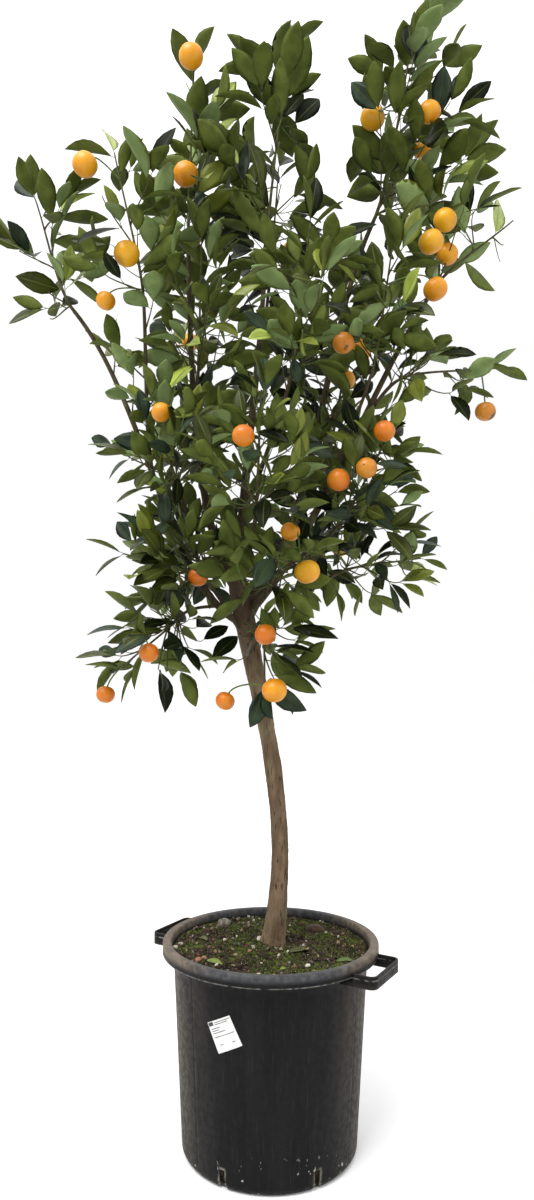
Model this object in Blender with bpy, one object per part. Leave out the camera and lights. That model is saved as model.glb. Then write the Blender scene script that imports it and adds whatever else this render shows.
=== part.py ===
"""Calamondin orange tree standing in its nursery container.

Metres, +Z up. The origin is the centre of the container's flat underside, and -Y is the front.
The stem stands in the container's soil and forks into boughs. Each bough ends in one mass of
foliage, which fills an ellipsoid of its own with twigs, leaves and fruit.
"""

import math

import bmesh
import bpy
import numpy as np
from mathutils import Matrix, Vector

# Gap between two solids that meet
CLEAR = 0.0003

# Container: a turned wall that widens upward to a thick rim, on a rounded foot
POT_HEIGHT = 0.350
RIM_RADIUS = 0.190
RIM_WIDTH = 0.0155
LIP_HEIGHT = 0.020
WALL = 0.003
WALL_TOP_RADIUS = 0.170
WALL_FOOT_RADIUS = 0.152
FOOT_ROUND = 0.013
FLARE_HEIGHT = 0.012
FLOOR = 0.004
POT_STEPS = 32
SLOT_WIDTH = 0.011
SLOT_HEIGHT = 0.0315
SLOT_DEPTH = 0.020
SLOT_ANGLES = (0, 60, 120, 180, 240, 300)

# Grip straps: flat bands bent to a U, on one diameter of the rim
GRIP_ANGLES = {"handle_right": -30, "handle_left": 150}
GRIP_REACH = 0.2205
GRIP_LENGTH = 0.106
GRIP_HEIGHT = 0.021
GRIP_TOP = 0.338
GRIP_THICKNESS = 0.0035
GRIP_CORNER = 0.011
GRIP_ROOT_RADIUS = WALL_TOP_RADIUS - 0.025

# Paper label on the wall
LABEL_WIDTH = 0.0465
LABEL_HEIGHT = 0.049
LABEL_THICKNESS = 0.0006
LABEL_ANGLE = -116.5
LABEL_MIDDLE = 0.246
LABEL_TILT = 26.0

# Soil that fills the container, slightly higher round the stem
SOIL_EDGE = 0.336
SOIL_MIDDLE = 0.342
SOIL_FLAT = 0.036

# Stem: a leaning S from the soil to the fork, flared at its root
STEM_FOOT = (0.004, 0.0, SOIL_MIDDLE + CLEAR)
STEM_LOWER_BEND = (0.039, -0.010, 0.586)
STEM_UPPER_BEND = (-0.013, 0.012, 0.704)
STEM_TOP = (-0.067, 0.0, 0.996)
STEM_STATIONS = (0.0, 0.03, 0.09, 0.18, 0.35, 0.60, 0.80, 0.93, 0.975, 1.0)
STEM_DIAMETERS = (0.045, 0.0395, 0.035, 0.0305, 0.0290, 0.0300, 0.0345, 0.0385, 0.0370, 0.0270)
STEM_SIDES = 10
STEM_RINGS = 17

# Boughs. Each row: what it grows from, how far along that (0 to 1), its tip, the heading from +X and
# the rise above level that it leaves with, the rise that it arrives with (degrees), and its
# diameters at the base and the tip.
BOUGHS = {
    "bough_centre": ("stem", 0.95, (-0.020, -0.010, 1.560), 150, 84, 88, 0.022, 0.0080),
    "bough_left": ("stem", 0.89, (-0.366, -0.040, 1.472), 188, 16, 50, 0.015, 0.0070),
    "bough_right": ("stem", 0.91, (0.295, -0.020, 1.530), -28, 36, 58, 0.019, 0.0075),
    "bough_upper_left": ("stem", 0.955, (-0.165, 0.015, 1.610), 172, 52, 88, 0.018, 0.0080),
    "bough_right_spire": ("stem", 0.945, (0.185, 0.010, 1.670), 14, 30, 66, 0.019, 0.0080),
    "bough_back_left": ("stem", 0.93, (-0.115, 0.145, 1.240), 118, 38, 70, 0.017, 0.0080),
    "bough_back_right": ("stem", 0.92, (0.105, 0.150, 1.240), 56, 34, 64, 0.017, 0.0080),
    "bough_heart": ("stem", 0.94, (-0.030, -0.175, 1.080), -100, 30, 60, 0.014, 0.0065),
    "bough_low_left": ("stem", 0.865, (-0.128, -0.065, 0.985), 212, 20, 25, 0.011, 0.0060),
    "bough_low_centre": ("stem", 0.885, (-0.008, -0.115, 0.968), -72, 18, 30, 0.010, 0.0055),
    "bough_low_right": ("stem", 0.865, (0.125, 0.005, 1.003), 5, 14, 24, 0.012, 0.0060),
    "bough_centre_skirt": ("stem", 0.845, (-0.020, -0.088, 0.905), -80, 12, -12, 0.009, 0.0055),
    "bough_left_skirt": ("bough_low_left", 0.55, (-0.158, -0.085, 0.915), 235, -20, -45, 0.007, 0.0050),
    "bough_left_shoulder": ("bough_left", 0.55, (-0.232, -0.090, 1.470), 240, 70, 76, 0.0085, 0.0060),
    "bough_left_middle": ("bough_left", 0.24, (-0.165, -0.088, 1.138), -72, 20, 60, 0.008, 0.0055),
    "bough_mid_left": ("bough_upper_left", 0.56, (-0.138, -0.045, 1.360), -60, 45, 75, 0.009, 0.0060),
    "bough_heart_upper": ("bough_centre", 0.30, (0.028, -0.108, 1.330), -65, 40, 68, 0.011, 0.0065),
    "bough_back_spire": ("bough_centre", 0.66, (-0.005, 0.150, 1.680), 85, 40, 74, 0.009, 0.0060),
    "bough_right_inner": ("bough_right", 0.40, (0.172, -0.085, 1.350), -75, 40, 72, 0.008, 0.0055),
    "bough_right_middle": ("bough_right", 0.55, (0.215, -0.068, 1.335), -50, 30, 30, 0.009, 0.0060),
    "bough_right_low": ("bough_right", 0.20, (0.105, -0.078, 1.065), -60, 20, 40, 0.009, 0.0060),
    "bough_back_low_left": ("bough_back_left", 0.28, (-0.128, 0.135, 1.030), 140, 5, 10, 0.009, 0.0060),
    "bough_back_low_right": ("bough_back_right", 0.26, (0.050, 0.132, 1.030), 75, 0, 10, 0.009, 0.0060),
}
LEAVE_PULL = 0.22
ARRIVE_PULL = 0.33
BOUGH_SIDES = 5
BOUGH_RINGS = (4, 8)
BOUGH_RING_STEP = 0.08

# Masses of foliage. Each row: the bough that carries it, the centre and radii of the ellipsoid that
# it keeps inside, and the way that its leading shoot points.
MASSES = {
    "foliage_left_wing": ("bough_left", (-0.41, -0.03, 1.575), (0.102, 0.120, 0.195), (-0.5, 0.0, 0.8)),
    "foliage_left_shoulder": ("bough_left_shoulder", (-0.265, -0.1, 1.61), (0.118, 0.14, 0.19), (-0.3, 0, 1)),
    "foliage_upper_left": ("bough_upper_left", (-0.15, 0.02, 1.80), (0.106, 0.160, 0.265), (-0.1, 0.1, 1)),
    "foliage_centre_spire": ("bough_centre", (0.00, -0.02, 1.785), (0.108, 0.145, 0.285), (0.25, 0, 1)),
    "foliage_back_spire": ("bough_back_spire", (0.00, 0.22, 1.78), (0.112, 0.130, 0.190), (0.1, 0.2, 1)),
    "foliage_right_spire": ("bough_right_spire", (0.262, 0.00, 1.85), (0.152, 0.165, 0.260), (0.1, 0, 1)),
    "foliage_right_shoulder": ("bough_right", (0.365, -0.03, 1.62), (0.128, 0.160, 0.175), (0.9, 0, 0.4)),
    "foliage_right_middle": ("bough_right_middle", (0.30, -0.06, 1.36), (0.142, 0.140, 0.122), (1, 0, 0.1)),
    "foliage_right_inner": ("bough_right_inner", (0.19, -0.12, 1.48), (0.11, 0.135, 0.15), (0.2, -0.2, 1)),
    "foliage_heart_upper": ("bough_heart_upper", (0.05, -0.17, 1.45), (0.128, 0.165, 0.165), (0.1, -0.3, 1)),
    "foliage_mid_left": ("bough_mid_left", (-0.13, -0.07, 1.47), (0.108, 0.150, 0.165), (0, -0.2, 1)),
    "foliage_left_middle": ("bough_left_middle", (-0.18, -0.1, 1.22), (0.124, 0.155, 0.12), (-0.5, -0.3, 0.8)),
    "foliage_heart": ("bough_heart", (-0.02, -0.21, 1.18), (0.120, 0.160, 0.140), (0, -0.4, 0.9)),
    "foliage_right_low": ("bough_right_low", (0.16, -0.10, 1.15), (0.122, 0.165, 0.148), (0.5, -0.2, 0.8)),
    "foliage_low_left": ("bough_low_left", (-0.19, -0.10, 1.02), (0.116, 0.155, 0.110), (-1, -0.2, 0.1)),
    "foliage_left_skirt": ("bough_left_skirt", (-0.205, -0.1, 0.875), (0.118, 0.13, 0.13), (-0.7, -0.1, -0.6)),
    "foliage_centre_skirt": ("bough_centre_skirt", (-0.01, -0.14, 0.86), (0.106, 0.11, 0.116), (0, -0.3, -0.8)),
    "foliage_low_centre": ("bough_low_centre", (-0.010, -0.200, 1.00), (0.125, 0.115, 0.1), (0.6, -0.5, 0.2)),
    "foliage_low_right": ("bough_low_right", (0.21, 0.02, 1.03), (0.116, 0.155, 0.098), (1, 0, 0.1)),
    "foliage_back_left": ("bough_back_left", (-0.15, 0.22, 1.44), (0.134, 0.170, 0.270), (-0.1, 0.1, 1)),
    "foliage_back_right": ("bough_back_right", (0.17, 0.22, 1.44), (0.175, 0.170, 0.270), (0.1, 0.1, 1)),
    "foliage_back_low_left": ("bough_back_low_left", (-0.17, 0.2, 1.08), (0.15, 0.165, 0.134), (-0.7, 0.5, 0.1)),
    "foliage_back_low_right": ("bough_back_low_right", (0.12, 0.2, 1.08), (0.16, 0.165, 0.134), (0.7, 0.5, 0.1)),
}
CELL_MARGIN = 0.025

# Shoots within a mass. A leading shoot ends at a share of its mass's radius, and side shoots aim at
# points spread evenly over the mass: as far out as these shares of the radius allow, from these
# shares of the leading shoot's length, and none aims back at the bough.
LEADER_REACH = 0.97
LEADER_SIDES = 4
LEADER_RINGS = 5
LEADER_SHARE = 0.95
LEADER_TIP_RADIUS = 0.0030
TWIG_REACHES = (0.96, 0.90, 0.84, 0.78, 0.72, 0.66, 0.60, 0.54)
TWIG_STATIONS = (0.18, 0.90)
TWIG_JITTER = 0.03
TWIG_SIDES = 3
TWIG_RINGS = 3
TWIG_BASE_RADIUS = 0.0026
TWIG_TIP_RADIUS = 0.0019
TWIG_SHORTEST = 0.020
TWIGS_PER_AREA = 3.3
GOLDEN_TURN = math.radians(137.508)
BACKWARD = 0.55
FORWARD_ANGLE = math.radians(52.0)
FORWARD_PULL = 0.5
TWIG_LIFT = 0.25
TWIG_CLEARANCE = 0.003
TWIGS_APART = 0.0078

# Points at which limbs and shoots are tested against each other
LIMB_POINTS = 60
LEADER_POINTS = 30
SHOOT_POINTS = 16
ROOT_POINTS = 4

# Attempts at joining a mass, in how many of them a part that joins badly is nudged, and how far
FUSE_ATTEMPTS = 12
FUSE_NUDGES = 5
FUSE_NUDGE = (0.00012, -0.00009, 0.00015)

# Leaves, larger than life and fewer. Smaller masses have smaller leaves, and a leaf's width and the
# step between leaves are shares of its length.
LEAF_LENGTH = 0.104
LEAF_LEAST = 0.070
LEAF_PER_SIZE = 0.62
LEAF_WIDTH = 0.62
LEAF_THICKNESS = 0.0020
LEAF_STEP = 0.43
LEAFY_SHARE = 0.85
LEAF_SINK = 0.0014
LEAF_TRIES = 5
LEAF_SCALES = (0.85, 1.0)
LEAF_ROLL = 0.35
LEAF_LIGHT = np.array((0.0, 0.0, 0.45))
LEAF_SPREAD = math.radians(52.0)
LEAF_DROOP = 0.10
LEAF_FOLD = 0.07
LEAF_CLEARANCE = 0.006
LEAF_APART = 0.008

# Ripe fruit. Each row: the place of its centre and its diameter.
FRUIT = (
    (-0.155, -0.075, 1.945, 0.045), (-0.330, -0.140, 1.690, 0.044), (-0.165, -0.055, 1.740, 0.046),
    (-0.252, -0.155, 1.530, 0.044), (-0.296, -0.100, 1.480, 0.034), (0.180, -0.045, 1.850, 0.046),
    (0.274, -0.095, 1.825, 0.040), (0.305, -0.085, 1.628, 0.042), (0.294, -0.098, 1.585, 0.044),
    (0.328, -0.045, 1.560, 0.038), (0.345, -0.115, 1.535, 0.044), (0.112, -0.185, 1.360, 0.036),
    (0.165, 0.085, 1.455, 0.036), (0.140, 0.090, 1.392, 0.040), (0.378, -0.050, 1.295, 0.037),
    (0.177, -0.190, 1.205, 0.035), (0.146, -0.215, 1.145, 0.034), (0.103, -0.195, 1.130, 0.037),
    (-0.047, -0.325, 1.166, 0.033), (0.026, -0.190, 1.046, 0.032), (0.055, -0.195, 0.988, 0.041),
    (-0.125, -0.150, 0.976, 0.033), (-0.199, -0.185, 0.850, 0.032), (-0.262, -0.125, 0.800, 0.031),
    (-0.066, -0.150, 0.800, 0.032), (-0.013, -0.205, 0.880, 0.034), (0.002, -0.195, 0.798, 0.040),
    (-0.183, -0.205, 1.236, 0.032),
    (-0.190, 0.330, 1.560, 0.042), (-0.235, 0.270, 1.330, 0.036), (0.200, 0.340, 1.540, 0.042),
    (0.120, 0.345, 1.380, 0.040), (-0.200, 0.310, 1.060, 0.036), (0.150, 0.320, 1.090, 0.040),
    (0.040, 0.290, 1.760, 0.040), (0.300, 0.110, 1.880, 0.040),
)
FRUIT_STALK_RADIUS = 0.0022
STALK_DROP = 0.8
STALK_RISE = 0.5
STALK_SINK = 0.3


def clear_scene():
    for thing in list(bpy.data.objects):
        bpy.data.objects.remove(thing, do_unlink=True)


def finish(name, colour, roughness, metallic=0.0):
    """A plain Principled material, with its colour in linear light."""
    material = bpy.data.materials.new(name)
    material.use_nodes = True
    shader = material.node_tree.nodes["Principled BSDF"]
    shader.inputs["Base Color"].default_value = (*colour, 1.0)
    shader.inputs["Roughness"].default_value = roughness
    shader.inputs["Metallic"].default_value = metallic
    return material


def place(name, bm, material, smooth=True):
    """Turns a bmesh into a named object in the scene, shaded smooth except at its sharp edges."""
    bmesh.ops.recalc_face_normals(bm, faces=bm.faces)
    mesh = bpy.data.meshes.new(name)
    bm.to_mesh(mesh)
    bm.free()
    mesh.materials.append(material)
    if smooth:
        mesh.shade_smooth()
        mesh.set_sharp_from_angle(angle=math.radians(35))
    thing = bpy.data.objects.new(name, mesh)
    bpy.context.scene.collection.objects.link(thing)
    return thing


def make_cutter(thing):
    thing.hide_render = True
    thing.display_type = "WIRE"
    return thing


def cut(thing, cutter):
    modifier = thing.modifiers.new("cut by " + cutter.name, "BOOLEAN")
    modifier.operation = "DIFFERENCE"
    modifier.solver = "EXACT"
    modifier.object = cutter


def heading(azimuth, rise):
    """Unit vector at an angle from +X seen from above, and a rise above level, both in degrees."""
    a, e = math.radians(azimuth), math.radians(rise)
    return np.array((math.cos(e) * math.cos(a), math.cos(e) * math.sin(a), math.sin(e)))


def unit(vector):
    return vector / np.linalg.norm(vector)


def cubic(controls, t):
    """Points and unit tangents of a cubic curve at the parameters t, from its four control points."""
    a, b, c, d = (np.asarray(p, float) for p in controls)
    t = np.asarray(t, float)[:, None]
    u = 1.0 - t
    points = u**3 * a + 3 * u * u * t * b + 3 * u * t * t * c + t**3 * d
    tangents = u * u * (b - a) + 2 * u * t * (c - b) + t * t * (d - c)
    return points, tangents / np.linalg.norm(tangents, axis=1, keepdims=True)


def bend(start, end, leave, arrive):
    """Control points of a limb that leaves its start and arrives at its end in the given directions."""
    reach = np.linalg.norm(end - start)
    return start, start + leave * reach * LEAVE_PULL, end - arrive * reach * ARRIVE_PULL, end


def tube(points, tangents, radii, sides):
    """A closed round limb: a ring square to the path at each point, with both ends capped."""
    bm = bmesh.new()
    side = Vector(tangents[0]).orthogonal().normalized()
    turns = np.arange(sides) * (2 * math.pi / sides)
    rings = []
    for point, tangent, radius in zip(points, tangents, radii):
        forward = Vector(tangent)
        side = (side - forward * side.dot(forward)).normalized()
        over = forward.cross(side)
        middle = Vector(point)
        spokes = [side * math.cos(a) + over * math.sin(a) for a in turns]
        rings.append([bm.verts.new(middle + spoke * radius) for spoke in spokes])
    bm.faces.new(rings[0][::-1])
    bm.faces.new(rings[-1])
    for low, high in zip(rings, rings[1:]):
        for k in range(sides):
            n = (k + 1) % sides
            bm.faces.new((low[k], low[n], high[n], high[k]))
    return bm


def turned(profile, steps):
    """Spins a profile of (radius, height) points, which starts and ends on the axis, round +Z."""
    bm = bmesh.new()
    line = [bm.verts.new((radius, 0.0, height)) for radius, height in profile]
    edges = [bm.edges.new(pair) for pair in zip(line, line[1:])]
    bmesh.ops.spin(bm, geom=line + edges, cent=(0, 0, 0), axis=(0, 0, 1), angle=2 * math.pi, steps=steps)
    bmesh.ops.remove_doubles(bm, verts=bm.verts, dist=1e-6)
    return bm


def turn_round(bm, degrees):
    """Turns a bmesh about +Z."""
    matrix = Matrix.Rotation(math.radians(degrees), 3, "Z")
    bmesh.ops.rotate(bm, cent=(0, 0, 0), matrix=matrix, verts=bm.verts)


def wall_radius(height):
    """Outer radius of the container's wall at a height above its foot."""
    top = POT_HEIGHT - LIP_HEIGHT - FLARE_HEIGHT
    share = (height - FOOT_ROUND) / (top - FOOT_ROUND)
    return WALL_FOOT_RADIUS + (WALL_TOP_RADIUS - WALL_FOOT_RADIUS) * share


def pot_outside(grow=0.0):
    """Outer profile of the container from the middle of its underside to the top of its rim."""
    lip = POT_HEIGHT - LIP_HEIGHT
    rim_inside = RIM_RADIUS - RIM_WIDTH
    edge = 0.0035
    return [
        (0.0, -grow),
        (WALL_FOOT_RADIUS - FOOT_ROUND, -grow),
        (WALL_FOOT_RADIUS - FOOT_ROUND * 0.3 + grow, FOOT_ROUND * 0.3),
        (WALL_FOOT_RADIUS + grow, FOOT_ROUND),
        (WALL_TOP_RADIUS + grow, lip - FLARE_HEIGHT),
        (rim_inside + grow, lip - grow),
        (RIM_RADIUS - edge * 0.5 + grow, lip - grow),
        (RIM_RADIUS + grow, POT_HEIGHT - edge),
        (RIM_RADIUS - edge + grow, POT_HEIGHT + grow),
    ]


def pot_inside(grow=0.0):
    """Inner profile of the container, from the top of its rim down to the middle of its floor."""
    lip = POT_HEIGHT - LIP_HEIGHT
    rim_inside = RIM_RADIUS - RIM_WIDTH
    edge = 0.0030
    return [
        (rim_inside + edge, POT_HEIGHT),
        (rim_inside - grow, POT_HEIGHT - edge),
        (rim_inside - WALL - grow, lip),
        (WALL_TOP_RADIUS - WALL - grow, lip - FLARE_HEIGHT),
        (WALL_FOOT_RADIUS - WALL - grow, FOOT_ROUND),
        (WALL_FOOT_RADIUS - FOOT_ROUND - grow, FLOOR + grow),
        (0.0, FLOOR + grow),
    ]


def make_pot(material):
    """The turned container, with its drain slots cut through the corner of the foot."""
    pot = place("pot", turned(pot_outside() + pot_inside(), POT_STEPS), material)
    for angle in SLOT_ANGLES:
        bm = bmesh.new()
        bmesh.ops.create_cube(bm, size=1.0)
        bmesh.ops.scale(bm, vec=(SLOT_DEPTH, SLOT_WIDTH, 2 * SLOT_HEIGHT), verts=bm.verts)
        bmesh.ops.translate(bm, vec=(WALL_FOOT_RADIUS, 0, 0), verts=bm.verts)
        turn_round(bm, angle)
        slot = make_cutter(place(f"slot_{angle}", bm, material, smooth=False))
        cut(pot, slot)
    return pot


def make_soil(material):
    """The soil: it follows the inside of the container and rises a little towards the stem."""
    fill = [point for point in reversed(pot_inside(CLEAR)) if point[1] < SOIL_EDGE - 0.001]
    fill += [(RIM_RADIUS - RIM_WIDTH - WALL, SOIL_EDGE), (SOIL_FLAT, SOIL_MIDDLE), (0.0, SOIL_MIDDLE)]
    return place("soil", turned(fill, POT_STEPS), material)


def band(path, thickness, low, high):
    """A flat strap on edge: a plan path given half its thickness each way, and raised from low to high."""
    along = np.gradient(path, axis=0)
    across = np.stack((-along[:, 1], along[:, 0]), axis=1)
    across /= np.linalg.norm(across, axis=1, keepdims=True)
    bm = bmesh.new()
    rings = []
    for point, offset in zip(path, across * thickness / 2):
        inner, outer = point + offset, point - offset
        corners = ((*inner, low), (*outer, low), (*outer, high), (*inner, high))
        rings.append([bm.verts.new(corner) for corner in corners])
    bm.faces.new(rings[0])
    bm.faces.new(rings[-1][::-1])
    for near, far in zip(rings, rings[1:]):
        for k in range(4):
            n = (k + 1) % 4
            bm.faces.new((near[n], near[k], far[k], far[n]))
    return bm


def make_grips(material):
    """The two U-shaped grips. Their ends butt against the lip and the wall of the container."""
    envelope = turned(pot_outside(CLEAR) + [(0.0, POT_HEIGHT + CLEAR)], POT_STEPS)
    envelope = make_cutter(place("pot_envelope", envelope, material, smooth=False))
    half = GRIP_LENGTH / 2
    bends = np.radians(np.linspace(0, 90, 4))
    corner = np.stack((np.sin(bends), -np.cos(bends)), axis=1) * GRIP_CORNER
    corner += (GRIP_REACH - GRIP_CORNER, -half + GRIP_CORNER)
    near_side = np.vstack(([GRIP_ROOT_RADIUS, -half], corner))
    path = np.vstack((near_side, near_side[::-1] * (1, -1)))
    for name, angle in GRIP_ANGLES.items():
        bm = band(path, GRIP_THICKNESS, GRIP_TOP - GRIP_HEIGHT, GRIP_TOP)
        turn_round(bm, angle)
        cut(place(name, bm, material), envelope)


def make_label(material):
    """A thin paper sheet that follows the wall's curve, turned a little from upright."""
    cells = 3
    tilt = math.radians(LABEL_TILT)
    steps = np.linspace(-0.5, 0.5, cells + 1)
    bm = bmesh.new()
    layers = []
    for lift in (CLEAR, CLEAR + LABEL_THICKNESS):
        grid = []
        for v in steps * LABEL_HEIGHT:
            row = []
            for u in steps * LABEL_WIDTH:
                across = u * math.cos(tilt) - v * math.sin(tilt)
                height = LABEL_MIDDLE + u * math.sin(tilt) + v * math.cos(tilt)
                radius = wall_radius(height) + lift
                angle = math.radians(LABEL_ANGLE) + across / radius
                row.append(bm.verts.new((radius * math.cos(angle), radius * math.sin(angle), height)))
            grid.append(row)
        layers.append(grid)
    back, front = layers
    for i in range(cells):
        for k in range(cells):
            bm.faces.new((front[i][k], front[i][k + 1], front[i + 1][k + 1], front[i + 1][k]))
            bm.faces.new((back[i][k], back[i + 1][k], back[i + 1][k + 1], back[i][k + 1]))
        bm.faces.new((back[0][i], back[0][i + 1], front[0][i + 1], front[0][i]))
        bm.faces.new((back[-1][i + 1], back[-1][i], front[-1][i], front[-1][i + 1]))
        bm.faces.new((back[i + 1][0], back[i][0], front[i][0], front[i + 1][0]))
        bm.faces.new((back[i][-1], back[i + 1][-1], front[i + 1][-1], front[i][-1]))
    return place("label", bm, material)


def ring_stations(controls, ends, rings):
    """A limb as its rings: centres, tangents and radii at even steps along a cubic curve."""
    t = np.linspace(0.0, 1.0, rings)
    points, tangents = cubic(controls, t)
    return points, tangents, ends[0] + (ends[1] - ends[0]) * t**0.8


def along(limb, share):
    """The point and the direction at a share of the way along the straight runs between a limb's rings."""
    points = limb[0]
    place_on = float(np.clip(share, 0.0, 0.999)) * (len(points) - 1)
    k = int(place_on)
    step = points[k + 1] - points[k]
    return points[k] + step * (place_on - k), unit(step)


def spread_along(limb, count):
    """Points and radii at many even steps along a limb."""
    points, _, radii = limb
    at = np.linspace(0, len(points) - 1, count)
    ring = np.arange(len(points))
    dense = np.stack([np.interp(at, ring, points[:, axis]) for axis in range(3)], axis=1)
    return dense, np.interp(at, ring, radii)


def grow_limbs():
    """The stem and every bough as rings, by name."""
    stations = np.linspace(0.0, 1.0, STEM_RINGS)
    points, tangents = cubic((STEM_FOOT, STEM_LOWER_BEND, STEM_UPPER_BEND, STEM_TOP), stations)
    tangents[0] = (0.0, 0.0, 1.0)
    limbs = {"stem": (points, tangents, np.interp(stations, STEM_STATIONS, STEM_DIAMETERS) / 2)}
    for name, (parent, share, tip, azimuth, rise, arrival, base, end) in BOUGHS.items():
        start, _ = along(limbs[parent], share)
        tip = np.array(tip)
        level = math.degrees(math.atan2(tip[1] - start[1], tip[0] - start[0]))
        controls = bend(start, tip, heading(azimuth, rise), heading(level, arrival))
        rings = int(np.clip(np.linalg.norm(tip - start) / BOUGH_RING_STEP + 2, *BOUGH_RINGS))
        limbs[name] = ring_stations(controls, (base / 2, end / 2), rings)
    return limbs


def make_limbs(limbs, material):
    """The stem and the boughs. A bough's base is cut to the face of the limb that it grows from."""
    parents = {row[0] for row in BOUGHS.values()}
    cutters = {}
    for name, (points, tangents, radii) in limbs.items():
        sides = STEM_SIDES if name == "stem" else BOUGH_SIDES
        limb = place(name, tube(points, tangents, radii, sides), material)
        if name in BOUGHS:
            cut(limb, cutters[BOUGHS[name][0]])
        if name in parents:
            skin = radii + CLEAR / math.cos(math.pi / sides)
            longer = points.copy()
            longer[-1] += tangents[-1] * CLEAR
            cutters[name] = make_cutter(place(name + "_skin", tube(longer, tangents, skin, sides), material))


def nearest(points, others):
    """Shortest distance from any of the points to any of the others."""
    return np.linalg.norm(points[:, None, :] - others, axis=2).min()


def in_cell(points, own, centres, radii):
    """Whether all points lie inside ellipsoid own, and deeper in it than in any other."""
    depth = np.linalg.norm((points[:, None, :] - centres) / radii, axis=2)
    rivals = np.delete(depth, own, axis=1).min(axis=1)
    return bool(np.all(depth[:, own] < 1.0) and np.all(depth[:, own] < rivals - CELL_MARGIN))


def is_clear(points, reach, obstacles):
    """Whether all points keep the given distance from the surface of every limb."""
    where, thick = obstacles
    gaps = np.linalg.norm(points[:, None, :] - where, axis=2) - thick
    return bool(gaps.min() > reach)


def even_directions(count, turn):
    """Directions spread evenly over a sphere on a golden spiral, turned by an angle about +Z."""
    k = np.arange(count) + 0.5
    height = 1 - 2 * k / count
    level = np.sqrt(1 - height**2)
    angle = k * GOLDEN_TURN + turn
    return np.stack((level * np.cos(angle), level * np.sin(angle), height), axis=1)


def leaf_frame(direction, roll, outward):
    """The leaf's own axes: along the blade, across it, and out of its upper face."""
    light = LEAF_LIGHT + outward
    face = unit(light - direction * light.dot(direction))
    across = np.cross(face, direction)
    face = math.cos(roll) * face + math.sin(roll) * across
    return direction, np.cross(face, direction), face


def leaf_points(root, frame, length, width):
    """Points over a blade, by which it is tested against limbs and against the edge of its mass."""
    along, across, face = frame
    stations = np.array(((0.15, 0.3), (0.3, 0.7), (0.45, 1.0), (0.6, 0.8), (0.8, 0.4), (1.0, 0.0)))
    points = [root]
    for share, spread in stations:
        middle = root + along * (length * share) - face * (LEAF_DROOP * length * share**2)
        for side in (-1, 0, 1):
            points.append(middle + across * (side * spread * width / 2))
    return np.array(points)


def leaf_body(root, frame, length, width):
    """A blade of six faces: root, tip and two raised side corners, with the rib's thickness in the middle."""
    along, across, face = frame
    middle = root + along * length * 0.45
    tip = root + along * length - face * LEAF_DROOP * length
    rise = face * LEAF_FOLD * width
    left = middle + across * width / 2 + rise
    right = middle - across * width / 2 + rise
    bm = bmesh.new()
    corners = (root, right, tip, left, middle + face * LEAF_THICKNESS)
    root, right, tip, left, rib = (bm.verts.new(corner) for corner in corners)
    for pair in ((root, right), (right, tip), (tip, left), (left, root)):
        bm.faces.new((*pair, rib))
    bm.faces.new((root, tip, right))
    bm.faces.new((root, left, tip))
    return bm


def fruit_body(centre, diameter):
    bm = bmesh.new()
    bmesh.ops.create_icosphere(bm, subdivisions=1, radius=diameter / 2)
    bmesh.ops.translate(bm, vec=centre, verts=bm.verts)
    return bm


def fruit_of_masses(centres, radii):
    """For each mass, in order, the fruit whose middle lies in it."""
    owned = [[] for _ in centres]
    for *centre, diameter in FRUIT:
        depth = np.linalg.norm((np.array(centre) - centres) / radii, axis=1)
        owned[int(depth.argmin())].append((np.array(centre), diameter))
    return owned


def mass_size(radii):
    return float(np.prod(radii)) ** (1 / 3)


def leaf_length(radii):
    """The length of a mass's leaves, from the radii of its ellipsoid."""
    return float(np.clip(LEAF_PER_SIZE * mass_size(radii), LEAF_LEAST, LEAF_LENGTH))


def grow_leader(name, limbs, centre, radii):
    """The leading shoot of a mass, from the bough's tip through the mass towards its far side."""
    bough, _, _, lead = MASSES[name]
    points, tangents, thickness = limbs[bough]
    tip, tangent = points[-1], tangents[-1]
    end = centre + unit(np.array(lead, float)) * radii * LEADER_REACH
    arrive = unit(end - tip)
    controls = bend(tip + tangent * CLEAR, end - arrive * leaf_length(radii), tangent, arrive)
    return ring_stations(controls, (thickness[-1] * LEADER_SHARE, LEADER_TIP_RADIUS), LEADER_RINGS)


def grow_twigs(own, leader, centres, radii, obstacles, rng):
    """Side shoots of a leading shoot, each aimed at one of the directions spread evenly over the mass."""
    centre, radius = centres[own], radii[own]
    leaf = leaf_length(radius)
    count = round(TWIGS_PER_AREA * (mass_size(radius) / leaf) ** 2)
    first, last = leader[0][0], leader[0][-1]
    back = unit((first - centre) / radius)
    reach = np.linalg.norm(last - first)
    chord = (last - first) / reach
    twigs = []
    for aim in even_directions(count, rng.uniform(0, 2 * math.pi)):
        shift = rng.uniform(-TWIG_JITTER, TWIG_JITTER)
        if aim.dot(back) > BACKWARD:
            continue
        for share in TWIG_REACHES:
            target = centre + aim * radius * share
            if in_cell(target[None, :], own, centres, radii):
                break
        else:
            continue
        ahead = (target - first).dot(chord)
        aside = np.linalg.norm(target - first - chord * ahead)
        station = np.clip((ahead - aside / math.tan(FORWARD_ANGLE)) / reach, *TWIG_STATIONS)
        start, forward = along(leader, station + shift)
        out = unit(target - start)
        arrive = unit(out + np.array((0, 0, TWIG_LIFT)))
        end = target - arrive * leaf
        if (end - start).dot(out) < TWIG_SHORTEST:
            continue
        controls = bend(start, end, unit(out + forward * FORWARD_PULL), arrive)
        twig = ring_stations(controls, (TWIG_BASE_RADIUS, TWIG_TIP_RADIUS), TWIG_RINGS)
        line, _ = spread_along(twig, SHOOT_POINTS)
        away = is_clear(line, TWIG_BASE_RADIUS + TWIG_CLEARANCE, obstacles)
        for other in twigs:
            away &= nearest(line[ROOT_POINTS:], spread_along(other, SHOOT_POINTS)[0]) > TWIGS_APART
        if away and in_cell(line, own, centres, radii):
            twigs.append(twig)
    return twigs


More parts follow.
